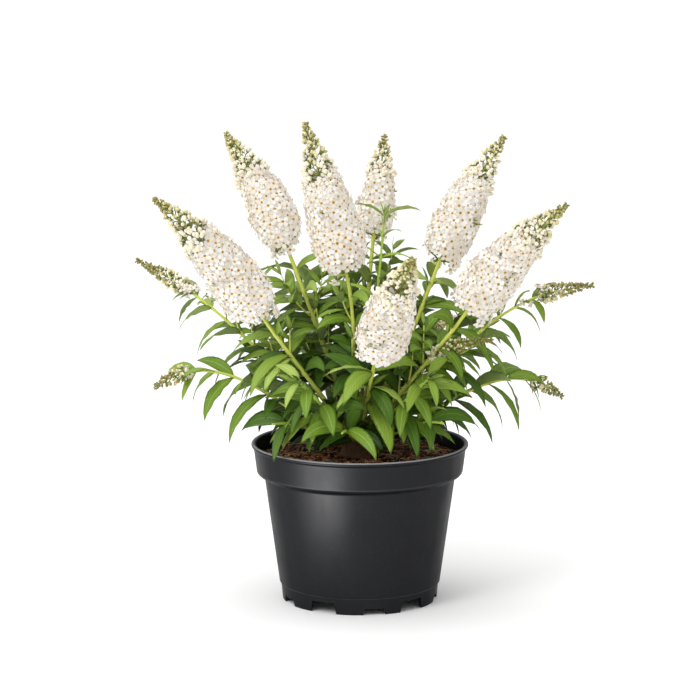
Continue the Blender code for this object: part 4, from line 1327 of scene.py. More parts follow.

# %% [markdown]
# A few long leaves hang at the front and are the first that one sees. These are aimed one by one:
# the stem, how many millimetres out from the middle the leaf stands on it, its heading and rise in
# degrees, its length in millimetres, how far it droops, and its shade, a step of painted light and
# shade. One that finds no room is left out.

# %% Hang the front leaves
FrontLeaf = namedtuple("FrontLeaf", "stem out heading rise length droop shade")
FRONT_SLIMNESS = 0.27
FRONT_FOLD = (6, 18)
FRONT_RIPPLE = 0.7 * MM
FRONT_LEAVES = (
    FrontLeaf("front_middle", 36, 250, 14, 66, 88, 3),
    FrontLeaf("front_middle", 35, 294, 2, 70, 80, 3),
    FrontLeaf("front_middle", 38, 222, 12, 46, 70, 2),
    FrontLeaf("front_middle", 46, 325, 15, 45, 78, 4),
    FrontLeaf("front_middle", 46, 222, 15, 47, 75, 4),
    FrontLeaf("front_middle", 22, 288, -10, 50, 45, 2),
    FrontLeaf("front_middle", 58, 196, 28, 48, 62, 4),
    FrontLeaf("front_middle", 22, 234, -8, 46, 45, 2),
    FrontLeaf("young_front_right", 46, 322, 8, 60, 78, 3),
    FrontLeaf("young_front_right", 50, 285, 5, 44, 85, 2),
    FrontLeaf("right_front", 55, 322, 12, 52, 85, 3),
    FrontLeaf("right_front", 72, 345, 15, 54, 82, 2),
    FrontLeaf("young_front_left", 50, 214, 10, 62, 78, 3),
    FrontLeaf("young_front_left", 58, 250, 0, 46, 85, 2),
    FrontLeaf("left_front", 60, 200, 20, 66, 80, 3),
    FrontLeaf("left_front", 72, 236, 10, 54, 80, 4),
)


def way_out(route, out):
    """The distance along a stem at which it stands a given way out from the middle."""
    reaches = [math.hypot(point.x, point.y) for point in route.points]
    return float(np.interp(out, reaches, route.marks))


def hang_leaf(leaf):
    """One of the long leaves that hang at the front, aimed by its own heading and rise."""
    root, along = routes[leaf.stem].place(way_out(routes[leaf.stem], leaf.out * MM))
    start = pointing(leaf.heading, 90 - leaf.rise)
    across = start.cross(UP).normalized()
    light = (UP * 0.8 + start * 0.5).normalized()
    width = leaf.length * MM * FRONT_SLIMNESS * rng.uniform(0.93, 1.07)
    fold = math.radians(rng.uniform(*FRONT_FOLD))
    shape = (root, start, across, light, leaf.length * MM, width, math.radians(leaf.droop), fold,
             FRONT_RIPPLE, rng.uniform(0, math.tau))
    if crowd.try_to_add(bend_leaf(COARSE, *shape), COARSE.faces):
        leaf_heap.add(bend_leaf(LEAF_BLANK, *shape), LEAF_BLANK.faces, leaf_looks(LEAF_BLANK, leaf.shade),
                      leaf_map(LEAF_BLANK))
        return 1
    return 0


hanging = sum(map(hang_leaf, FRONT_LEAVES))
print("hung", hanging, "of", len(FRONT_LEAVES), "front leaves")

# %% [markdown]
# The main leaves stand in opposite pairs that turn a quarter from one pair to the next, and all
# the shoots grow together from their tips down, so that the outside of the bush is filled first.
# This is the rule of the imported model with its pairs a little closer.

# %% Grow the main leaves
quarters = {shoot.name: rng.random() * math.pi for shoot in SHOOTS}
main_nodes = []
grown = missed = 0
for rank in range(max(map(len, pairs.values()))):
    for shoot in SHOOTS:
        if rank >= len(pairs[shoot.name]):
            continue
        route = routes[shoot.name]
        distance = pairs[shoot.name][rank]
        first = BOUGH_LENGTH if shoot.bloom else 0
        share = (distance - first) / (route.length - first)
        turn = quarters[shoot.name] + rank * math.pi / 2 + rng.uniform(-PAIR_WANDER, PAIR_WANDER)
        skirt = shoot.name.startswith("skirt")
        young = not shoot.bloom and not skirt
        shade = painted_shade_and_age(route.place(distance)[0], max(0, share - 0.5) * (1.6 if young else 0.6))
        shade = min(shade, SKIRT_SHADE) if skirt else shade
        slender = shoot.name == SLENDER
        tip_share = THIN_TIP_SHARE if shoot.bloom and shoot.girth < LARGE_GIRTH else TIP_LEAF_SHARE
        growth = SKIRT_GROWTH if skirt else 1 - (1 - tip_share) * share ** 4
        for half in (0, math.pi):
            length = rng.uniform(*LEAF_LENGTH) * growth
            if slender:
                length = rng.uniform(*SLENDER_LENGTH)
            angle = math.radians(rng.uniform(*LEAF_ANGLE))
            droop = math.radians(rng.uniform(*LEAF_DROOP)) * (0.7 if slender else 1)
            if grow_leaf(route, distance, turn + half, angle, length, droop, 5 if slender else shade,
                         slim=SLENDER_WIDTH if slender else 1):
                grown += 1
            else:
                missed += 1
            main_nodes.append((shoot, distance, turn + half, share))
print("grew", grown, "main leaves and left out", missed)

# %% [markdown]
# A side shoot is a small stem with pairs of leaves of its own, short at its tip and longer below.
# It has to clear what stands already as well, so it is tried three times, each time shorter,
# before it is given up.

# %% One side shoot
TWIG_RADIUS = 1.0 * MM
TWIG_STEPS = 6
TWIG_LIFT = 0.2
TWIG_PAIR_SPACING = 9 * MM
TUFT_LENGTH = (8 * MM, 14 * MM)
TWIG_LENGTH = (24 * MM, 64 * MM)
LONG_TWIG_STRETCH = (-0.2, 0.62)
TUFT_STRETCH = (0.0, 0.7)
TWIG_LEAF = (18 * MM, 46 * MM)
TOPMOST_TWIG = 14 * MM           # how far below its stem's own end a side shoot stops
SMALL_TRIES = ((0, 1), (30, 0.85), (-30, 0.85), (0, 0.65))
FINE_LEAF = 27 * MM              # a shorter leaf takes the small blank
TWIG_LEAN = (24, 46)
FULL_TWIG = 50 * MM
LONG_TWIG_SHARE = 0.6
TUFT_SHARE = 0.68
TWIG_AGE = 0.35


def twig_route(route, distance, turn, lean, length):
    """A side shoot that leaves its stem at an angle and turns up."""
    root, along = route.place(distance)
    spoke = route.spoke(distance, turn)
    way = along * math.cos(lean) + spoke * math.sin(lean)
    points = [root]
    for _ in range(TWIG_STEPS):
        way = (way + UP * TWIG_LIFT).normalized()
        points.append(points[-1] + way * (length / TWIG_STEPS))
    return Route(points, spoke.cross(along))


def grow_twig(route, distance, turn, length, shade):
    """Adds a side shoot, shorter if it must be, with its pairs of leaves; counts the leaves."""
    for size in (1, 0.75, 0.5):
        twig = twig_route(route, distance, turn, math.radians(rng.uniform(*TWIG_LEAN)), length * size)
        centres = np.array([twig.place(twig.length * t)[0] for t in np.linspace(0, 1, 7)])
        if centres[-1][2] > route.points[-1].z - TOPMOST_TWIG:
            continue
        radii = np.linspace(TWIG_RADIUS, 0.5 * TWIG_RADIUS, 7)
        if crowd.try_to_add(*tube(centres[1:], radii[1:], 3)):
            break
    else:
        return 0
    length = twig.length
    strand, faces = tube(centres, radii, 5)
    twig_heap.add(strand, faces, np.full(len(faces), 3 if shade > 3 else 2))
    count = 0
    quarter = rng.random() * math.pi
    pair_count = max(2, round(length / TWIG_PAIR_SPACING))
    for i in range(pair_count):
        place = 1 - i * 0.85 / pair_count
        size = between(TWIG_LEAF, min(1, i / 2.5) * min(1, 0.45 + length / FULL_TWIG))
        for half in (0, math.pi):
            leaf_length = size * rng.uniform(0.85, 1.15)
            angle = math.radians(24 + 30 * min(1, i / 2) + rng.uniform(-8, 8))
            droop = math.radians(rng.uniform(20, 45) + 35 * min(1, i / 2))
            age = min(5, shade + (i == 0))
            heap, blank = (small_heap, SMALL_BLANK) if leaf_length < FINE_LEAF else (leaf_heap, LEAF_BLANK)
            count += grow_leaf(twig, place * length, quarter + i * math.pi / 2 + half, angle, leaf_length,
                               droop, age, heap, blank, SMALL_TRIES)
    return count


print("a side shoot is", round(TUFT_LENGTH[0] / MM), "to", round(TWIG_LENGTH[1] / MM), "mm long")

# %% [markdown]
# In the angle above many leaves stands a side shoot. Half way up a stem it has had time to stretch
# and carries four or five pairs of leaves, higher up it is only a tuft. These shoots close the gaps
# between the stems and give the bush its fullness.

# %% Grow the side shoots
small_count = twig_count = 0
for shoot, distance, turn, share in main_nodes:
    long_enough = LONG_TWIG_STRETCH[0] < share < LONG_TWIG_STRETCH[1]
    dice = rng.random()
    if long_enough and shoot.name != SLENDER and dice < LONG_TWIG_SHARE:
        length = rng.uniform(*TWIG_LENGTH)
    elif share < TUFT_STRETCH[1] and dice < TUFT_SHARE:
        length = rng.uniform(*TUFT_LENGTH)
    else:
        continue
    spot = routes[shoot.name].place(distance)[0]
    added = grow_twig(routes[shoot.name], distance, turn, length, painted_shade_and_age(spot, TWIG_AGE))
    small_count += added
    twig_count += added > 0
leaf_nodes = [shoot.name + "_leaves" for shoot in SHOOTS]
leaf_heap.settle("main_leaves", "foliage", *leaf_nodes)
print("grew", twig_count, "side shoots with", small_count, "leaves of their own")

# %% [markdown]
# A shoot without a flower ends in its youngest leaves, narrow, upright and bright. A flowering
# shoot has a pair of short narrow bracts right under its spike.

# %% Grow the tips and the bracts
BRACT_LENGTH = (12, 22)
TIP_PAIRS = ((9, 26, 34), (4, 19, 24), (0, 13, 13), (-2, 9, 7))     # how far back, how long, how spread
for shoot in SHOOTS:
    route = routes[shoot.name]
    if shoot.bloom:
        for distance in (route.length - 4 * MM, route.length - 0.5 * MM):
            turn = rng.random() * math.pi
            for half in (0, math.pi):
                angle = math.radians(rng.uniform(40, 65))
                length = rng.uniform(*BRACT_LENGTH) * MM
                droop = math.radians(rng.uniform(30, 70))
                small_count += grow_leaf(route, distance, turn + half, angle, length, droop, 2,
                                         small_heap, SMALL_BLANK, SMALL_TRIES)
    else:
        if shoot.name.startswith("skirt"):
            continue
        age, slim = (5, 0.6) if shoot.name == SLENDER else (3, 1)
        for back, size, spread in TIP_PAIRS:
            distance = route.length - back * MM
            turn = quarters[shoot.name] + (back // 3) * math.pi / 2
            for half in (0, math.pi):
                length = size * rng.uniform(0.9, 1.1) * MM
                droop = math.radians(rng.uniform(15, 40))
                small_count += grow_leaf(route, distance, turn + half, math.radians(spread), length, droop,
                                         age, small_heap, SMALL_BLANK, SMALL_TRIES, slim)
small_heap.settle("small_leaves", "foliage")
twig_heap.settle("side_shoots", "green_stem")
print(small_count, "small leaves in all")

# %% [markdown]
# A butterfly bush floret is a small white trumpet: a narrow tube, four rounded lobes that open
# flat, and an orange-yellow throat. The lobes start from a ring of eight points. One lobe is drawn
# out from two of its edges in two steps, and three copies of it are turned round the middle. A
# cupped and a swept-back version come from the same steps.

# %% Model the lobes
THROAT_RADIUS = 1.2
LOBE_STEPS = ((1.6, 1.95, 0.2), (1.7, 0.86, 0.0))      # how far out, how much wider, how far up
LOBE_TIP_PULL = 0.45
FLORET_LIFTS = (0.0, 0.55, -0.5)


def near_first_lobe(corner):
    return corner.x > THROAT_RADIUS * 0.6


def model_lobes(lift, filled=False):
    """Four lobes round a ring; lift raises the outer rows for a cup or lowers them."""
    bpy.ops.object.select_all(action="DESELECT")
    bpy.ops.mesh.primitive_circle_add(vertices=8, radius=THROAT_RADIUS)
    lobes = bpy.context.object
    pick(lobes, near_first_lobe, "EDGE")
    for out, wider, up in LOBE_STEPS:
        bpy.ops.mesh.extrude_edges_move(TRANSFORM_OT_translate={"value": (out, 0, up + lift)})
        bpy.ops.transform.resize(value=(1, wider, 1), center_override=(0, 0, 0))
    leave()
    reach = max(corner.co.x for corner in lobes.data.vertices)
    for corner in lobes.data.vertices:
        on_fold = abs(corner.co.y) < 0.2
        if corner.co.x > reach - 0.6 and not on_fold:
            corner.co.x -= LOBE_TIP_PULL
            corner.co.z -= 0.25
        if corner.co.x > THROAT_RADIUS * 1.2 and on_fold:
            corner.co.z -= 0.3
    pick(lobes, near_first_lobe)
    for _ in range(3):
        bpy.ops.mesh.duplicate()
        bpy.ops.transform.rotate(value=math.pi / 2, orient_axis="Z", center_override=(0, 0, 0))
    bpy.ops.mesh.select_all(action="SELECT")
    bpy.ops.mesh.remove_doubles(threshold=0.02)
    if filled:
        pick(lobes, lambda corner: math.hypot(corner.x, corner.y) < THROAT_RADIUS * 1.05)
        bpy.ops.mesh.edge_face_add()
        bpy.ops.mesh.poke()
    bpy.ops.mesh.select_all(action="SELECT")
    bpy.ops.mesh.normals_make_consistent(inside=False)
    leave()
    return read_pattern(lobes)


LOBES = [model_lobes(lift) for lift in FLORET_LIFTS]
INNER_LOBES = [model_lobes(lift, True) for lift in FLORET_LIFTS[:2]]
print("the lobes have", [len(lobes.faces) for lobes in LOBES + INNER_LOBES], "faces")

# %% [markdown]
# The throat is a short funnel in the same ring, with a deeper gold in its middle. A bud is a small
# ball drawn out lengthwise. Its lower faces take the calyx's green and the rest the bud's colour,
# so that it needs no second piece.

# %% Model the throat and the bud
def model_throat():
    """The funnel that the lobes stand round: a golden ring and a deeper golden middle."""
    bpy.ops.object.select_all(action="DESELECT")
    bpy.ops.mesh.primitive_circle_add(vertices=8, radius=THROAT_RADIUS)
    throat = bpy.context.object
    edit(throat)
    bpy.ops.mesh.select_all(action="SELECT")
    bpy.ops.mesh.extrude_edges_move(TRANSFORM_OT_translate={"value": (0, 0, -0.6)})
    bpy.ops.transform.resize(value=(0.52, 0.52, 1), center_override=(0, 0, 0))
    bpy.ops.mesh.edge_face_add()
    bpy.ops.mesh.poke(offset=-0.5)
    leave()
    for face in throat.data.polygons:
        face.material_index = int(len(face.vertices) == 3)
    return read_pattern(throat)


def model_bud():
    """A closed bud, one unit long, whose lower part sits in its green calyx."""
    bpy.ops.object.select_all(action="DESELECT")
    bpy.ops.mesh.primitive_uv_sphere_add(segments=6, ring_count=5, radius=0.5, location=(0, 0, 0.5))
    bud = bpy.context.object
    edit(bud)
    bpy.ops.mesh.select_all(action="SELECT")
    bpy.ops.transform.resize(value=(0.58, 0.58, 1), center_override=(0, 0, 0.5))
    leave()
    for corner in bud.data.vertices:
        corner.co.z += 0.5
    for face in bud.data.polygons:
        face.material_index = int(face.center.z > 0.36)
    return read_pattern(bud)


THROAT = model_throat()
BUD = model_bud()
print("a floret has", len(LOBES[0].faces) + len(THROAT.faces), "faces, a bud", len(BUD.faces))

# %% [markdown]
# The lobes are thin and silky and let light through, so the hollows between them stay bright and a
# little warm. A faint warm light of their own stands in for that. The three whites are a clean, a
# warm and a shaded one, dealt out floret by floret. Buds go from cream through straw to olive as
# they get smaller, and the smallest have brown points.

# %% Flower materials
SILK = MM / 0.7
PETAL_GLOW = 0.25
BUD_GLOW = 0.03


def petal_material(name, hex_colour, inner_light=0.0):
    petal = new_material(name, hex_colour, 0.6, IOR=1.4, Specular_IOR_Level=0.3,
                         Emission_Strength=inner_light, Emission_Color=linear("fff7ee"))
    silk = grains(petal, SILK, 3)
    feed(petal, "Roughness", remap(petal, silk, 0.5, 0.7))
    feed(petal, "Normal", bump(petal, silk, 0.4, 0.25 * MM))
    return petal


PETALS = [petal_material(*row, PETAL_GLOW) for row in (
    ("clean white petal", "cfcdc8"), ("warm white petal", "c8c1b2"), ("shaded white petal", "b9b3a7"))]
THROATS = [petal_material(*row) for row in (
    ("golden throat", "cfa956"), ("deep golden throat", "a98445"))]
SPIKE_GREENS = [stem_material(*row, 0.6) for row in (
    ("green calyx", "76823a"), ("green flower stalk", "7f8f40"), ("bright flower stalk", "9aa64c"))]
BUDS = SPIKE_GREENS[:1] + [petal_material(*row, BUD_GLOW) for row in (
    ("cream bud", "ece3cc"), ("straw bud", "dcd0a2"), ("olive bud", "b3aa66"),
    ("brown-tipped bud", "8f8242"))]
CALYX, STALK, BRIGHT_STALK = range(3)
CREAM, STRAW, OLIVE, BROWN = range(1, 5)
CLEAN, WARM, SHADED = range(3)
petal_heap = Heap(PETALS)
throat_heap = Heap(THROATS)
green_heap = Heap(SPIKE_GREENS)
bud_heap = Heap(BUDS)
print(len(PETALS), "whites and", len(BUDS) - 1, "bud colours")

# %% [markdown]
# The spike is a cone of florets round a green stalk, widest near its foot. A sunflower's rule
# spreads the florets evenly: each one turns on by the golden angle, and the step along the spike is
# such that each has the same area.

# %% The shape of a spike
GOLDEN = math.pi * (3 - math.sqrt(5))
SPIKE_FOOT_POWER = 0.28
THINNEST_SPIKE = 1.6 * MM
SHARE_STEPS = 400
PACKING = 0.88


def spike_radius(girth, share):
    """The radius at a share of the length: a round foot, then nearly straight to the tip."""
    widest = SPIKE_FOOT_POWER / (SPIKE_FOOT_POWER + 1)
    scale = girth / (widest ** SPIKE_FOOT_POWER * (1 - widest))
    return np.maximum(scale * share ** SPIKE_FOOT_POWER * (1 - share), THINNEST_SPIKE)


def even_places(length, girth, spacing, first, last):
    """Shares along the spike, one for each equal patch of its surface."""
    shares = np.linspace(first, last, SHARE_STEPS)
    area = np.cumsum(math.tau * spike_radius(girth, shares)) * length * (last - first) / SHARE_STEPS
    count = int(area[-1] / (PACKING * spacing ** 2))
    return np.interp((np.arange(count) + 0.5) / max(1, count) * area[-1], area, shares)


def spike_frame(route, share, angle):
    """The way along the spike and the outward spoke, at one floret."""
    along_here = share * route.length
    return route.place(along_here)[1], route.spoke(along_here, angle)


def side_jitter(amount):
    return Vector((rng.gauss(0, amount), rng.gauss(0, amount), rng.gauss(0, amount)))


print("each floret turns on by", round(math.degrees(GOLDEN), 1), "degrees")

# %% [markdown]
# A floret faces outward. Behind its lobes and throat come a tube, a green calyx and a stalk back
# to the middle of the spike. A bud sits in its calyx on a thinner stalk.

# %% Florets and buds on their stalks
FLORET_SIZE = 1.16
TUBE_LENGTH = 5.0 * MM
CALYX_LENGTH = 3.0 * MM
FLORET_STALK = 0.4 * MM
BUD_STALK = 0.35 * MM


def put(heap, pattern, spot, direction, scale, looks, spin=None):
    turn = turn_matrix(direction, rng.uniform(0, math.tau) if spin is None else spin)
    heap.add(pattern.corners * scale @ turn.T + np.array(spot), pattern.faces, looks)


def add_stalk(start, end, radius, look, sag=0.0):
    middle = (start + end) / 2 - UP * sag
    strand, faces = tube([start, middle, end], np.full(3, radius), 3, closed=False)
    green_heap.add(strand, faces, np.full(len(faces), look))


def add_floret(root, spot, outward, size=1.0):
    """A floret facing outward, with its tube, its calyx and a stalk back to its root."""
    tint = rng.choice((CLEAN, CLEAN, CLEAN, WARM, WARM, SHADED))
    pattern = rng.choice(LOBES)
    facing = (outward + side_jitter(0.17)).normalized()
    scale = size * FLORET_SIZE * rng.uniform(0.92, 1.1) * MM
    spin = rng.uniform(0, math.tau)
    put(petal_heap, pattern, spot, facing, scale, np.full(len(pattern.faces), tint), spin)
    put(throat_heap, THROAT, spot, facing, scale, THROAT.looks, spin)
    neck = spot - facing * 0.5 * MM * size
    heel = spot - facing * TUBE_LENGTH * size
    foot = heel - facing * CALYX_LENGTH * 0.6 * size
    strand, faces = tube([neck, heel], np.array([1.05, 0.7]) * scale, 4, closed=False)
    petal_heap.add(strand, faces, np.full(len(faces), WARM))
    calyx = [heel + facing * 0.8 * scale, heel - facing * 0.6 * scale, foot]
    strand, faces = tube(calyx, np.array([1.0, 0.95, 0.4]) * scale, 5, closed=False)
    green_heap.add(strand, faces, np.full(len(faces), CALYX))
    add_stalk(root, foot, FLORET_STALK, STALK)


def add_bud(root, spot, outward, length, look):
    facing = (outward + side_jitter(0.3)).normalized()
    put(bud_heap, BUD, spot - facing * length * 0.6, facing, length, np.where(BUD.looks == 0, 0, look))
    add_stalk(root, spot - facing * length * 0.6, BUD_STALK, BRIGHT_STALK)


print("a calyx is", round(CALYX_LENGTH / MM, 1), "mm long, a tube", round(TUBE_LENGTH / MM, 1))

# %% [markdown]
# Towards the tip the florets are still shut. Little clusters of buds stand in rings there, each
# ring smaller and closer to the next, and riper buds are cream while the youngest are olive.
# A few small clusters hang just below the large spikes on stalks of their own.

# %% Whorls of buds and hanging clusters
WHORL_SPACING = (7.6 * MM, 2.3 * MM)
WHORL_TURN = 0.8
BUD_LENGTH = (7.0 * MM, 3.2 * MM)
BUD_CROWD = 5.0 * MM
CLUSTER_STALK = 0.6 * MM
CYME_STALK = 0.55 * MM


def bud_whorls(route, girth, first, greenness, size):
    """Rings of little bud clusters, smaller and closer towards the tip."""
    length = route.length
    along_here = (first - 0.05) * length
    turn = rng.uniform(0, math.tau)
    while along_here < length:
        share = along_here / length
        tipward = max(0, min(1, (share - first) / (1 - first)))
        radius = float(spike_radius(girth, share))
        clusters = 5 if radius > 10 * MM else 4 if radius > 3 * MM else 3
        for c in range(clusters):
            angle = turn + math.tau * c / clusters + rng.gauss(0, 0.14)
            along, spoke = spike_frame(route, share, angle)
            root = route.place(along_here - 0.5 * radius)[0]
            middle = route.place(along_here)[0] + spoke * radius * (0.56 - 0.16 * tipward)
            add_stalk(root, middle, CLUSTER_STALK, BRIGHT_STALK)
            buds = 2 + round(radius / BUD_CROWD * rng.uniform(0.7, 1.15))
            bud_length = between(BUD_LENGTH, tipward) * rng.uniform(0.9, 1.1) * size
            for _ in range(buds):
                way = (spoke + along * 0.75 + side_jitter(0.5)).normalized()
                dice = tipward + greenness + rng.gauss(0, 0.14)
                look = CREAM if dice < 0.42 else STRAW if dice < 0.66 else OLIVE if dice < 0.9 else BROWN
                add_bud(middle, middle + way * (radius * 0.3 + bud_length * 0.5), way, bud_length, look)
        turn += WHORL_TURN
        along_here += between(WHORL_SPACING, tipward) * size


def hanging_cyme(route, distance, angle, reach, count, size):
    """A small cluster on its own stalk, which stands off the stem and nods."""
    root, along = route.place(distance)
    spoke = route.spoke(distance, angle)
    centre = root + spoke * reach + along * reach * 0.25 - UP * reach * 0.25
    add_stalk(root, centre, CYME_STALK, STALK, -1 * MM)
    for k in range(count):
        outward = spoke * rng.uniform(0.3, 1)
        astray = Vector((rng.gauss(0, 0.6), rng.gauss(0, 0.6), rng.gauss(-0.1, 0.6)))
        way = (outward + astray).normalized()
        if k % 4 == 3:
            add_bud(centre, centre + way * 5.5 * MM, way, 3.6 * MM, CREAM)
        else:
            add_floret(centre, centre + way * 8.5 * MM * size, way, size)


print("the buds are", round(BUD_LENGTH[1] / MM, 1), "to", round(BUD_LENGTH[0] / MM, 1), "mm long")

# %% [markdown]
# The florets stand in two layers, because one alone lets the eye see through the spike. The open
# ones are in front, and plain filled ones close the gaps behind. In a few bare patches the florets
# part, and green stalks with small buds show as they do on the real plant.

# %% Two layers of florets
FLORET_SPACING = 7.7 * MM
INNER_SPACING = 6.2 * MM
INNER_SHARE = 0.86
GIVE_WAY = 0.08                  # the stretch in which open florets give way to buds
BARE_STALK = 0.7 * MM


def is_bare(patches, route, girth, share, angle):
    """True where the florets part and the green stalks show."""
    radius = float(spike_radius(girth, share))
    for middle, heading, half_width in patches:
        aside = ((angle - heading + math.pi) % math.tau - math.pi) * radius
        if math.hypot((share - middle) * route.length * 0.6, aside) < half_width:
            return True
    return False


def show_stalks(route, girth, share, angle):
    """Four green stalks with small buds in place of a floret."""
    along, spoke = spike_frame(route, share, angle)
    middle = route.place(share * route.length)[0]
    radius = float(spike_radius(girth, share))
    for _ in range(4):
        tip = middle + (spoke + side_jitter(0.07)) * radius * rng.uniform(0.74, 0.88)
        add_stalk(middle + spoke * radius * 0.6 - along * 3 * MM, tip, BARE_STALK, CALYX)
        put(bud_heap, BUD, tip, spoke + along * 0.5, 2.6 * MM, np.where(BUD.looks == 0, 0, OLIVE))


def outer_florets(route, girth, size, open_up_to, turn, patches):
    """The open florets, which face outward and a little along the spike."""
    shares = even_places(route.length, girth, FLORET_SPACING * size, 0.01, open_up_to + GIVE_WAY)
    for k, share in enumerate(shares):
        angle = turn + k * GOLDEN
        if rng.random() < (share - open_up_to) / GIVE_WAY:
            continue
        if is_bare(patches, route, girth, share, angle):
            show_stalks(route, girth, share, angle)
            continue
        along, spoke = spike_frame(route, share, angle)
        radius = float(spike_radius(girth, share)) * rng.uniform(0.9, 0.99)
        tilt = rng.uniform(-0.1, 0.45) if share > 0.1 else rng.uniform(-0.7, 0.2)
        spot = route.place(share * route.length)[0] + spoke * radius
        back = max(0, share * route.length - 0.35 * radius)
        add_floret(route.place(back)[0], spot, (spoke + along * tilt).normalized(), size)


def inner_florets(route, girth, size, open_up_to, turn, patches):
    """The plain filled florets behind the open ones."""
    shares = even_places(route.length, girth * INNER_SHARE, INNER_SPACING * size, 0.02, open_up_to)
    for k, share in enumerate(shares):
        angle = turn + 1 + k * GOLDEN
        if is_bare(patches, route, girth, share, angle):
            continue
        along, spoke = spike_frame(route, share, angle)
        radius = float(spike_radius(girth, share)) * INNER_SHARE * rng.uniform(0.9, 1.05)
        spot = route.place(share * route.length)[0] + spoke * radius
        facing = (spoke + along * rng.uniform(-0.3, 0.4) + side_jitter(0.15)).normalized()
        pattern = rng.choice(INNER_LOBES)
        put(petal_heap, pattern, spot, facing, size * rng.uniform(0.95, 1.15) * MM,
            np.full(len(pattern.faces), rng.choice((CLEAN, CLEAN, WARM, SHADED))))


print("a floret stands every", round(FLORET_SPACING / MM, 1), "mm")

# %% [markdown]
# A whole spike is built from the inside out: the green stalk, a white heart that stops the view
# through, the two layers of florets, and the whorls of buds. On a long spike the florets are open
# up to nearly two thirds of its length.

# %% One spike
HEART_SHARE = 0.72
OPEN_UP_TO = 0.63
FULL_GIRTH = 24 * MM
BARE_COUNT = 5
BARE_STRETCH = (0.02, 0.5)
BARE_WIDTH = (4 * MM, 9 * MM)


def bloom_spike(route, girth, size=1.0, open_up_to=OPEN_UP_TO, greenness=0.0):
    """A spike along its route: stalk and heart, two layers of florets, and buds to the tip."""
    centres = [route.place(route.length * t)[0] for t in np.linspace(0, 1, 16)]
    radii = np.linspace(1.7, 0.5, 16) * MM * min(1, 0.35 + girth / FULL_GIRTH)
    stalk, faces = tube(centres, radii, 6, side=route.side)
    green_heap.add(stalk, faces, np.where(faces[:, 0] // 6 < 8, STALK, BRIGHT_STALK))
    inside = np.linspace(0.015, max(0.03, open_up_to - 0.05), 12)
    bulk = spike_radius(girth, inside) * HEART_SHARE
    bulk[-1] *= 0.4
    heart, faces = tube([route.place(route.length * t)[0] for t in inside], bulk, 12, side=route.side)
    petal_heap.add(heart, faces, np.full(len(faces), WARM))
    turn = rng.uniform(0, math.tau)
    patches = [(rng.uniform(*BARE_STRETCH), rng.uniform(0, math.tau), rng.uniform(*BARE_WIDTH) / 2)
               for _ in range(BARE_COUNT)]
    outer_florets(route, girth, size, open_up_to, turn, patches)
    inner_florets(route, girth, size, open_up_to, turn, patches)
    bud_whorls(route, girth, open_up_to, greenness, size)


print("a spike has", BARE_COUNT, "bare patches")

# %% [markdown]
# The twelve large spikes stand on their stems' ends. The six thin outer stems carry short spikes
# that have hardly opened, and one small green spike stands at the side of the right front stem.

# %% Let the spikes bloom
THIN_SIZE = 0.75
THIN_GREENNESS = 0.42
HARDLY_OPEN = 0.06
OPEN_SHARE = {"far_left_high": 0.22, "far_right_high": 0.12}
rng = random.Random(SEED + 2)


def fit_spike(shoot):
    """The spike's own centre line, which starts at the stem's end."""
    end, direction = routes[shoot.name].place(routes[shoot.name].length)
    start = end + direction * GAP if shoot.girth > LARGE_GIRTH else end - direction * 3 * MM
    return spike_route(start, shoot.aim, shoot.lean_foot, shoot.lean_tip, shoot.bloom * MM)


for shoot in SHOOTS:
    stem = routes[shoot.name]
    if shoot.girth > LARGE_GIRTH:
        bloom_spike(fit_spike(shoot), shoot.girth * MM)
        for _ in range(2):
            heading = rng.uniform(0, math.tau)
            reach = rng.uniform(8, 12) * MM
            hanging_cyme(stem, stem.length - 2 * MM, heading, reach, 4, 1.0)
    elif shoot.bloom:
        open_share = OPEN_SHARE.get(shoot.name, HARDLY_OPEN)
        bloom_spike(fit_spike(shoot), shoot.girth * MM, THIN_SIZE, open_share, THIN_GREENNESS)
        if shoot.name in OPEN_SHARE:
            for back in (3, 14):
                hanging_cyme(stem, stem.length - back * MM, rng.uniform(0, math.tau), 6 * MM, 3, 0.8)
carrier = routes[SIDE_SPIKE.carrier]
side_root = carrier.place(SIDE_SPIKE.share * carrier.length)[0]
side_route = spike_route(side_root, SIDE_SPIKE.aim, SIDE_SPIKE.lean_foot, SIDE_SPIKE.lean_tip,
                         SIDE_SPIKE.length * MM)
bloom_spike(side_route, SIDE_SPIKE.girth * MM, 0.7, 0.0, 0.3)
blossom_nodes = [shoot.name + "_blossom" for shoot in SHOOTS if shoot.girth > LARGE_GIRTH]
petal_heap.settle("petals", "blossom", *blossom_nodes)
throat_heap.settle("throats", "blossom")
bud_heap.settle("buds", "blossom")
green_heap.settle("flower_stalks", "green_stem")
print("the spikes are in bloom")

# %% [markdown]
# The picture is a plain studio shot on a white paper floor that runs back without an edge.

# %% Lay the floor
FLOOR_SIZE = 60
PAPER_TOOTH = MM / 0.9

bpy.ops.object.select_all(action="DESELECT")
bpy.ops.mesh.primitive_plane_add(size=FLOOR_SIZE)
floor = bpy.context.object
floor.name = "studio_floor"
paper = new_material("white studio paper", "fefefe", 0.9)
feed(paper, "Normal", bump(paper, grains(paper, PAPER_TOOTH), 0.05, 0.1 * MM))
floor.data.materials.append(paper)
floor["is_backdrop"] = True
print("the floor is", FLOOR_SIZE, "m wide")

# %% [markdown]
# A large soft light stands at the upper left in front, and a weak one above. Only shiny surfaces
# see the other two: a long card that lies on the floor at the front left gives the pot its soft
# stripe, and a light overhead gives the leaves their sheen. The room is white all round, brighter
# above and from the left, and that fills the shadows.

# %% Light the room
LIGHTS = {                       # place, size and power of each
    "key": ((-1.6, -1.9, 2.1), 1.1, 30),
    "top": ((-0.2, 0.5, 2.4), 1.2, 6),
    "card": ((-0.455, -0.56, 0.004), 1.05, 6.6),
    "overhead": ((-0.8, -0.85, 1.7), 1.2, 22),
}
LIT_POINT = Vector((0, 0, 0.2))
CARD_SIZE = (0.2, 1.05)
CARD_HEADING = 39


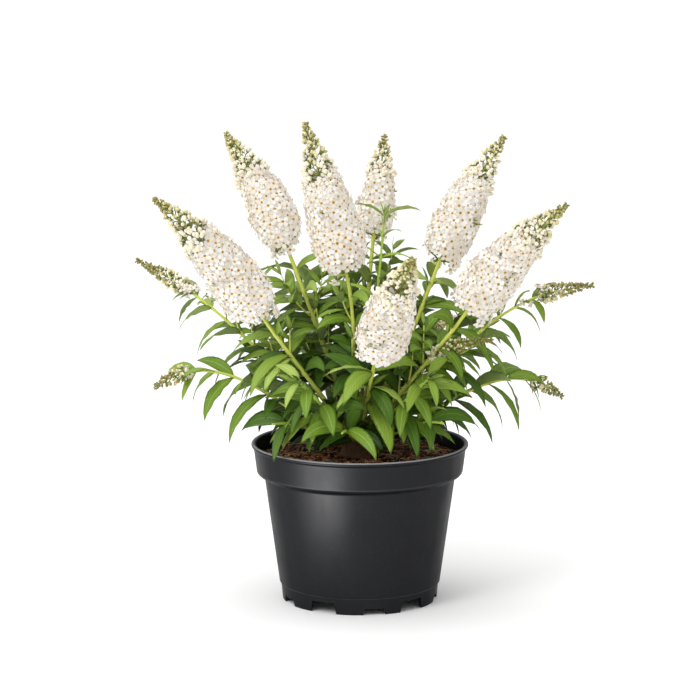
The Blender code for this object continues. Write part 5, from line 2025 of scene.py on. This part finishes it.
def soft_light(name, place, size, power):
    lamp = bpy.data.lights.new(name, "AREA")
    lamp.size = size
    lamp.energy = power
    thing = bpy.data.objects.new(name, lamp)
    thing.location = place
    thing.rotation_euler = (LIT_POINT - Vector(place)).to_track_quat("-Z", "Y").to_euler()
    bpy.context.scene.collection.objects.link(thing)
    return thing


lamps = {name: soft_light(name, *row) for name, row in LIGHTS.items()}
card = lamps["card"]
card.data.shape = "RECTANGLE"
card.data.size, card.data.size_y = CARD_SIZE
card.rotation_euler = (math.pi, 0, -math.radians(CARD_HEADING))
for lamp in (card, lamps["overhead"]):
    lamp.visible_camera = lamp.visible_diffuse = False
world = bpy.data.worlds.new("white room")
world.use_nodes = True
way = add_node(world, "ShaderNodeTexCoord")
parts = add_node(world, "ShaderNodeSeparateXYZ", {}, {0: way.outputs["Generated"]})
above = remap(world, parts.outputs["Z"], 0.4, 1.3, 0.0, 0.9)
leftward = remap(world, parts.outputs["X"], 0.3, -0.3, -1, 1)
background = world.node_tree.nodes["Background"]
background.inputs["Color"].default_value = (1, 1, 1, 1)
world.node_tree.links.new(combine(world, "ADD", above, leftward), background.inputs["Strength"])
bpy.context.scene.world = world
bpy.context.scene.view_settings.view_transform = "Standard"
print(len(lamps), "lights are on")

# %% [markdown]
# The camera stands a little above the plant and looks slightly down with a long lens, as the
# photo's does.

# %% Place the camera
CAMERA_PITCH = 9.6
CAMERA_DISTANCE = 2.6
CAMERA_TARGET = Vector((-0.0089, 0, 0.2282))
LENS = 148.2

pitch = math.radians(CAMERA_PITCH)
lens = bpy.data.cameras.new("camera")
lens.lens = LENS
camera = bpy.data.objects.new("camera", lens)
camera.location = CAMERA_TARGET + Vector((0, -math.cos(pitch), math.sin(pitch))) * CAMERA_DISTANCE
camera.rotation_euler = (math.pi / 2 - pitch, 0, 0)
bpy.context.scene.collection.objects.link(camera)
bpy.context.scene.camera = camera
print("the camera is", CAMERA_DISTANCE, "m away")

# %% Compare the sizes and finish
new_low, new_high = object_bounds()
for name, low, high in (("packed", cad_low, cad_high), ("dressed", new_low, new_high)):
    print(name, [round(value / MM, 1) for value in (*low, *high)], "mm")
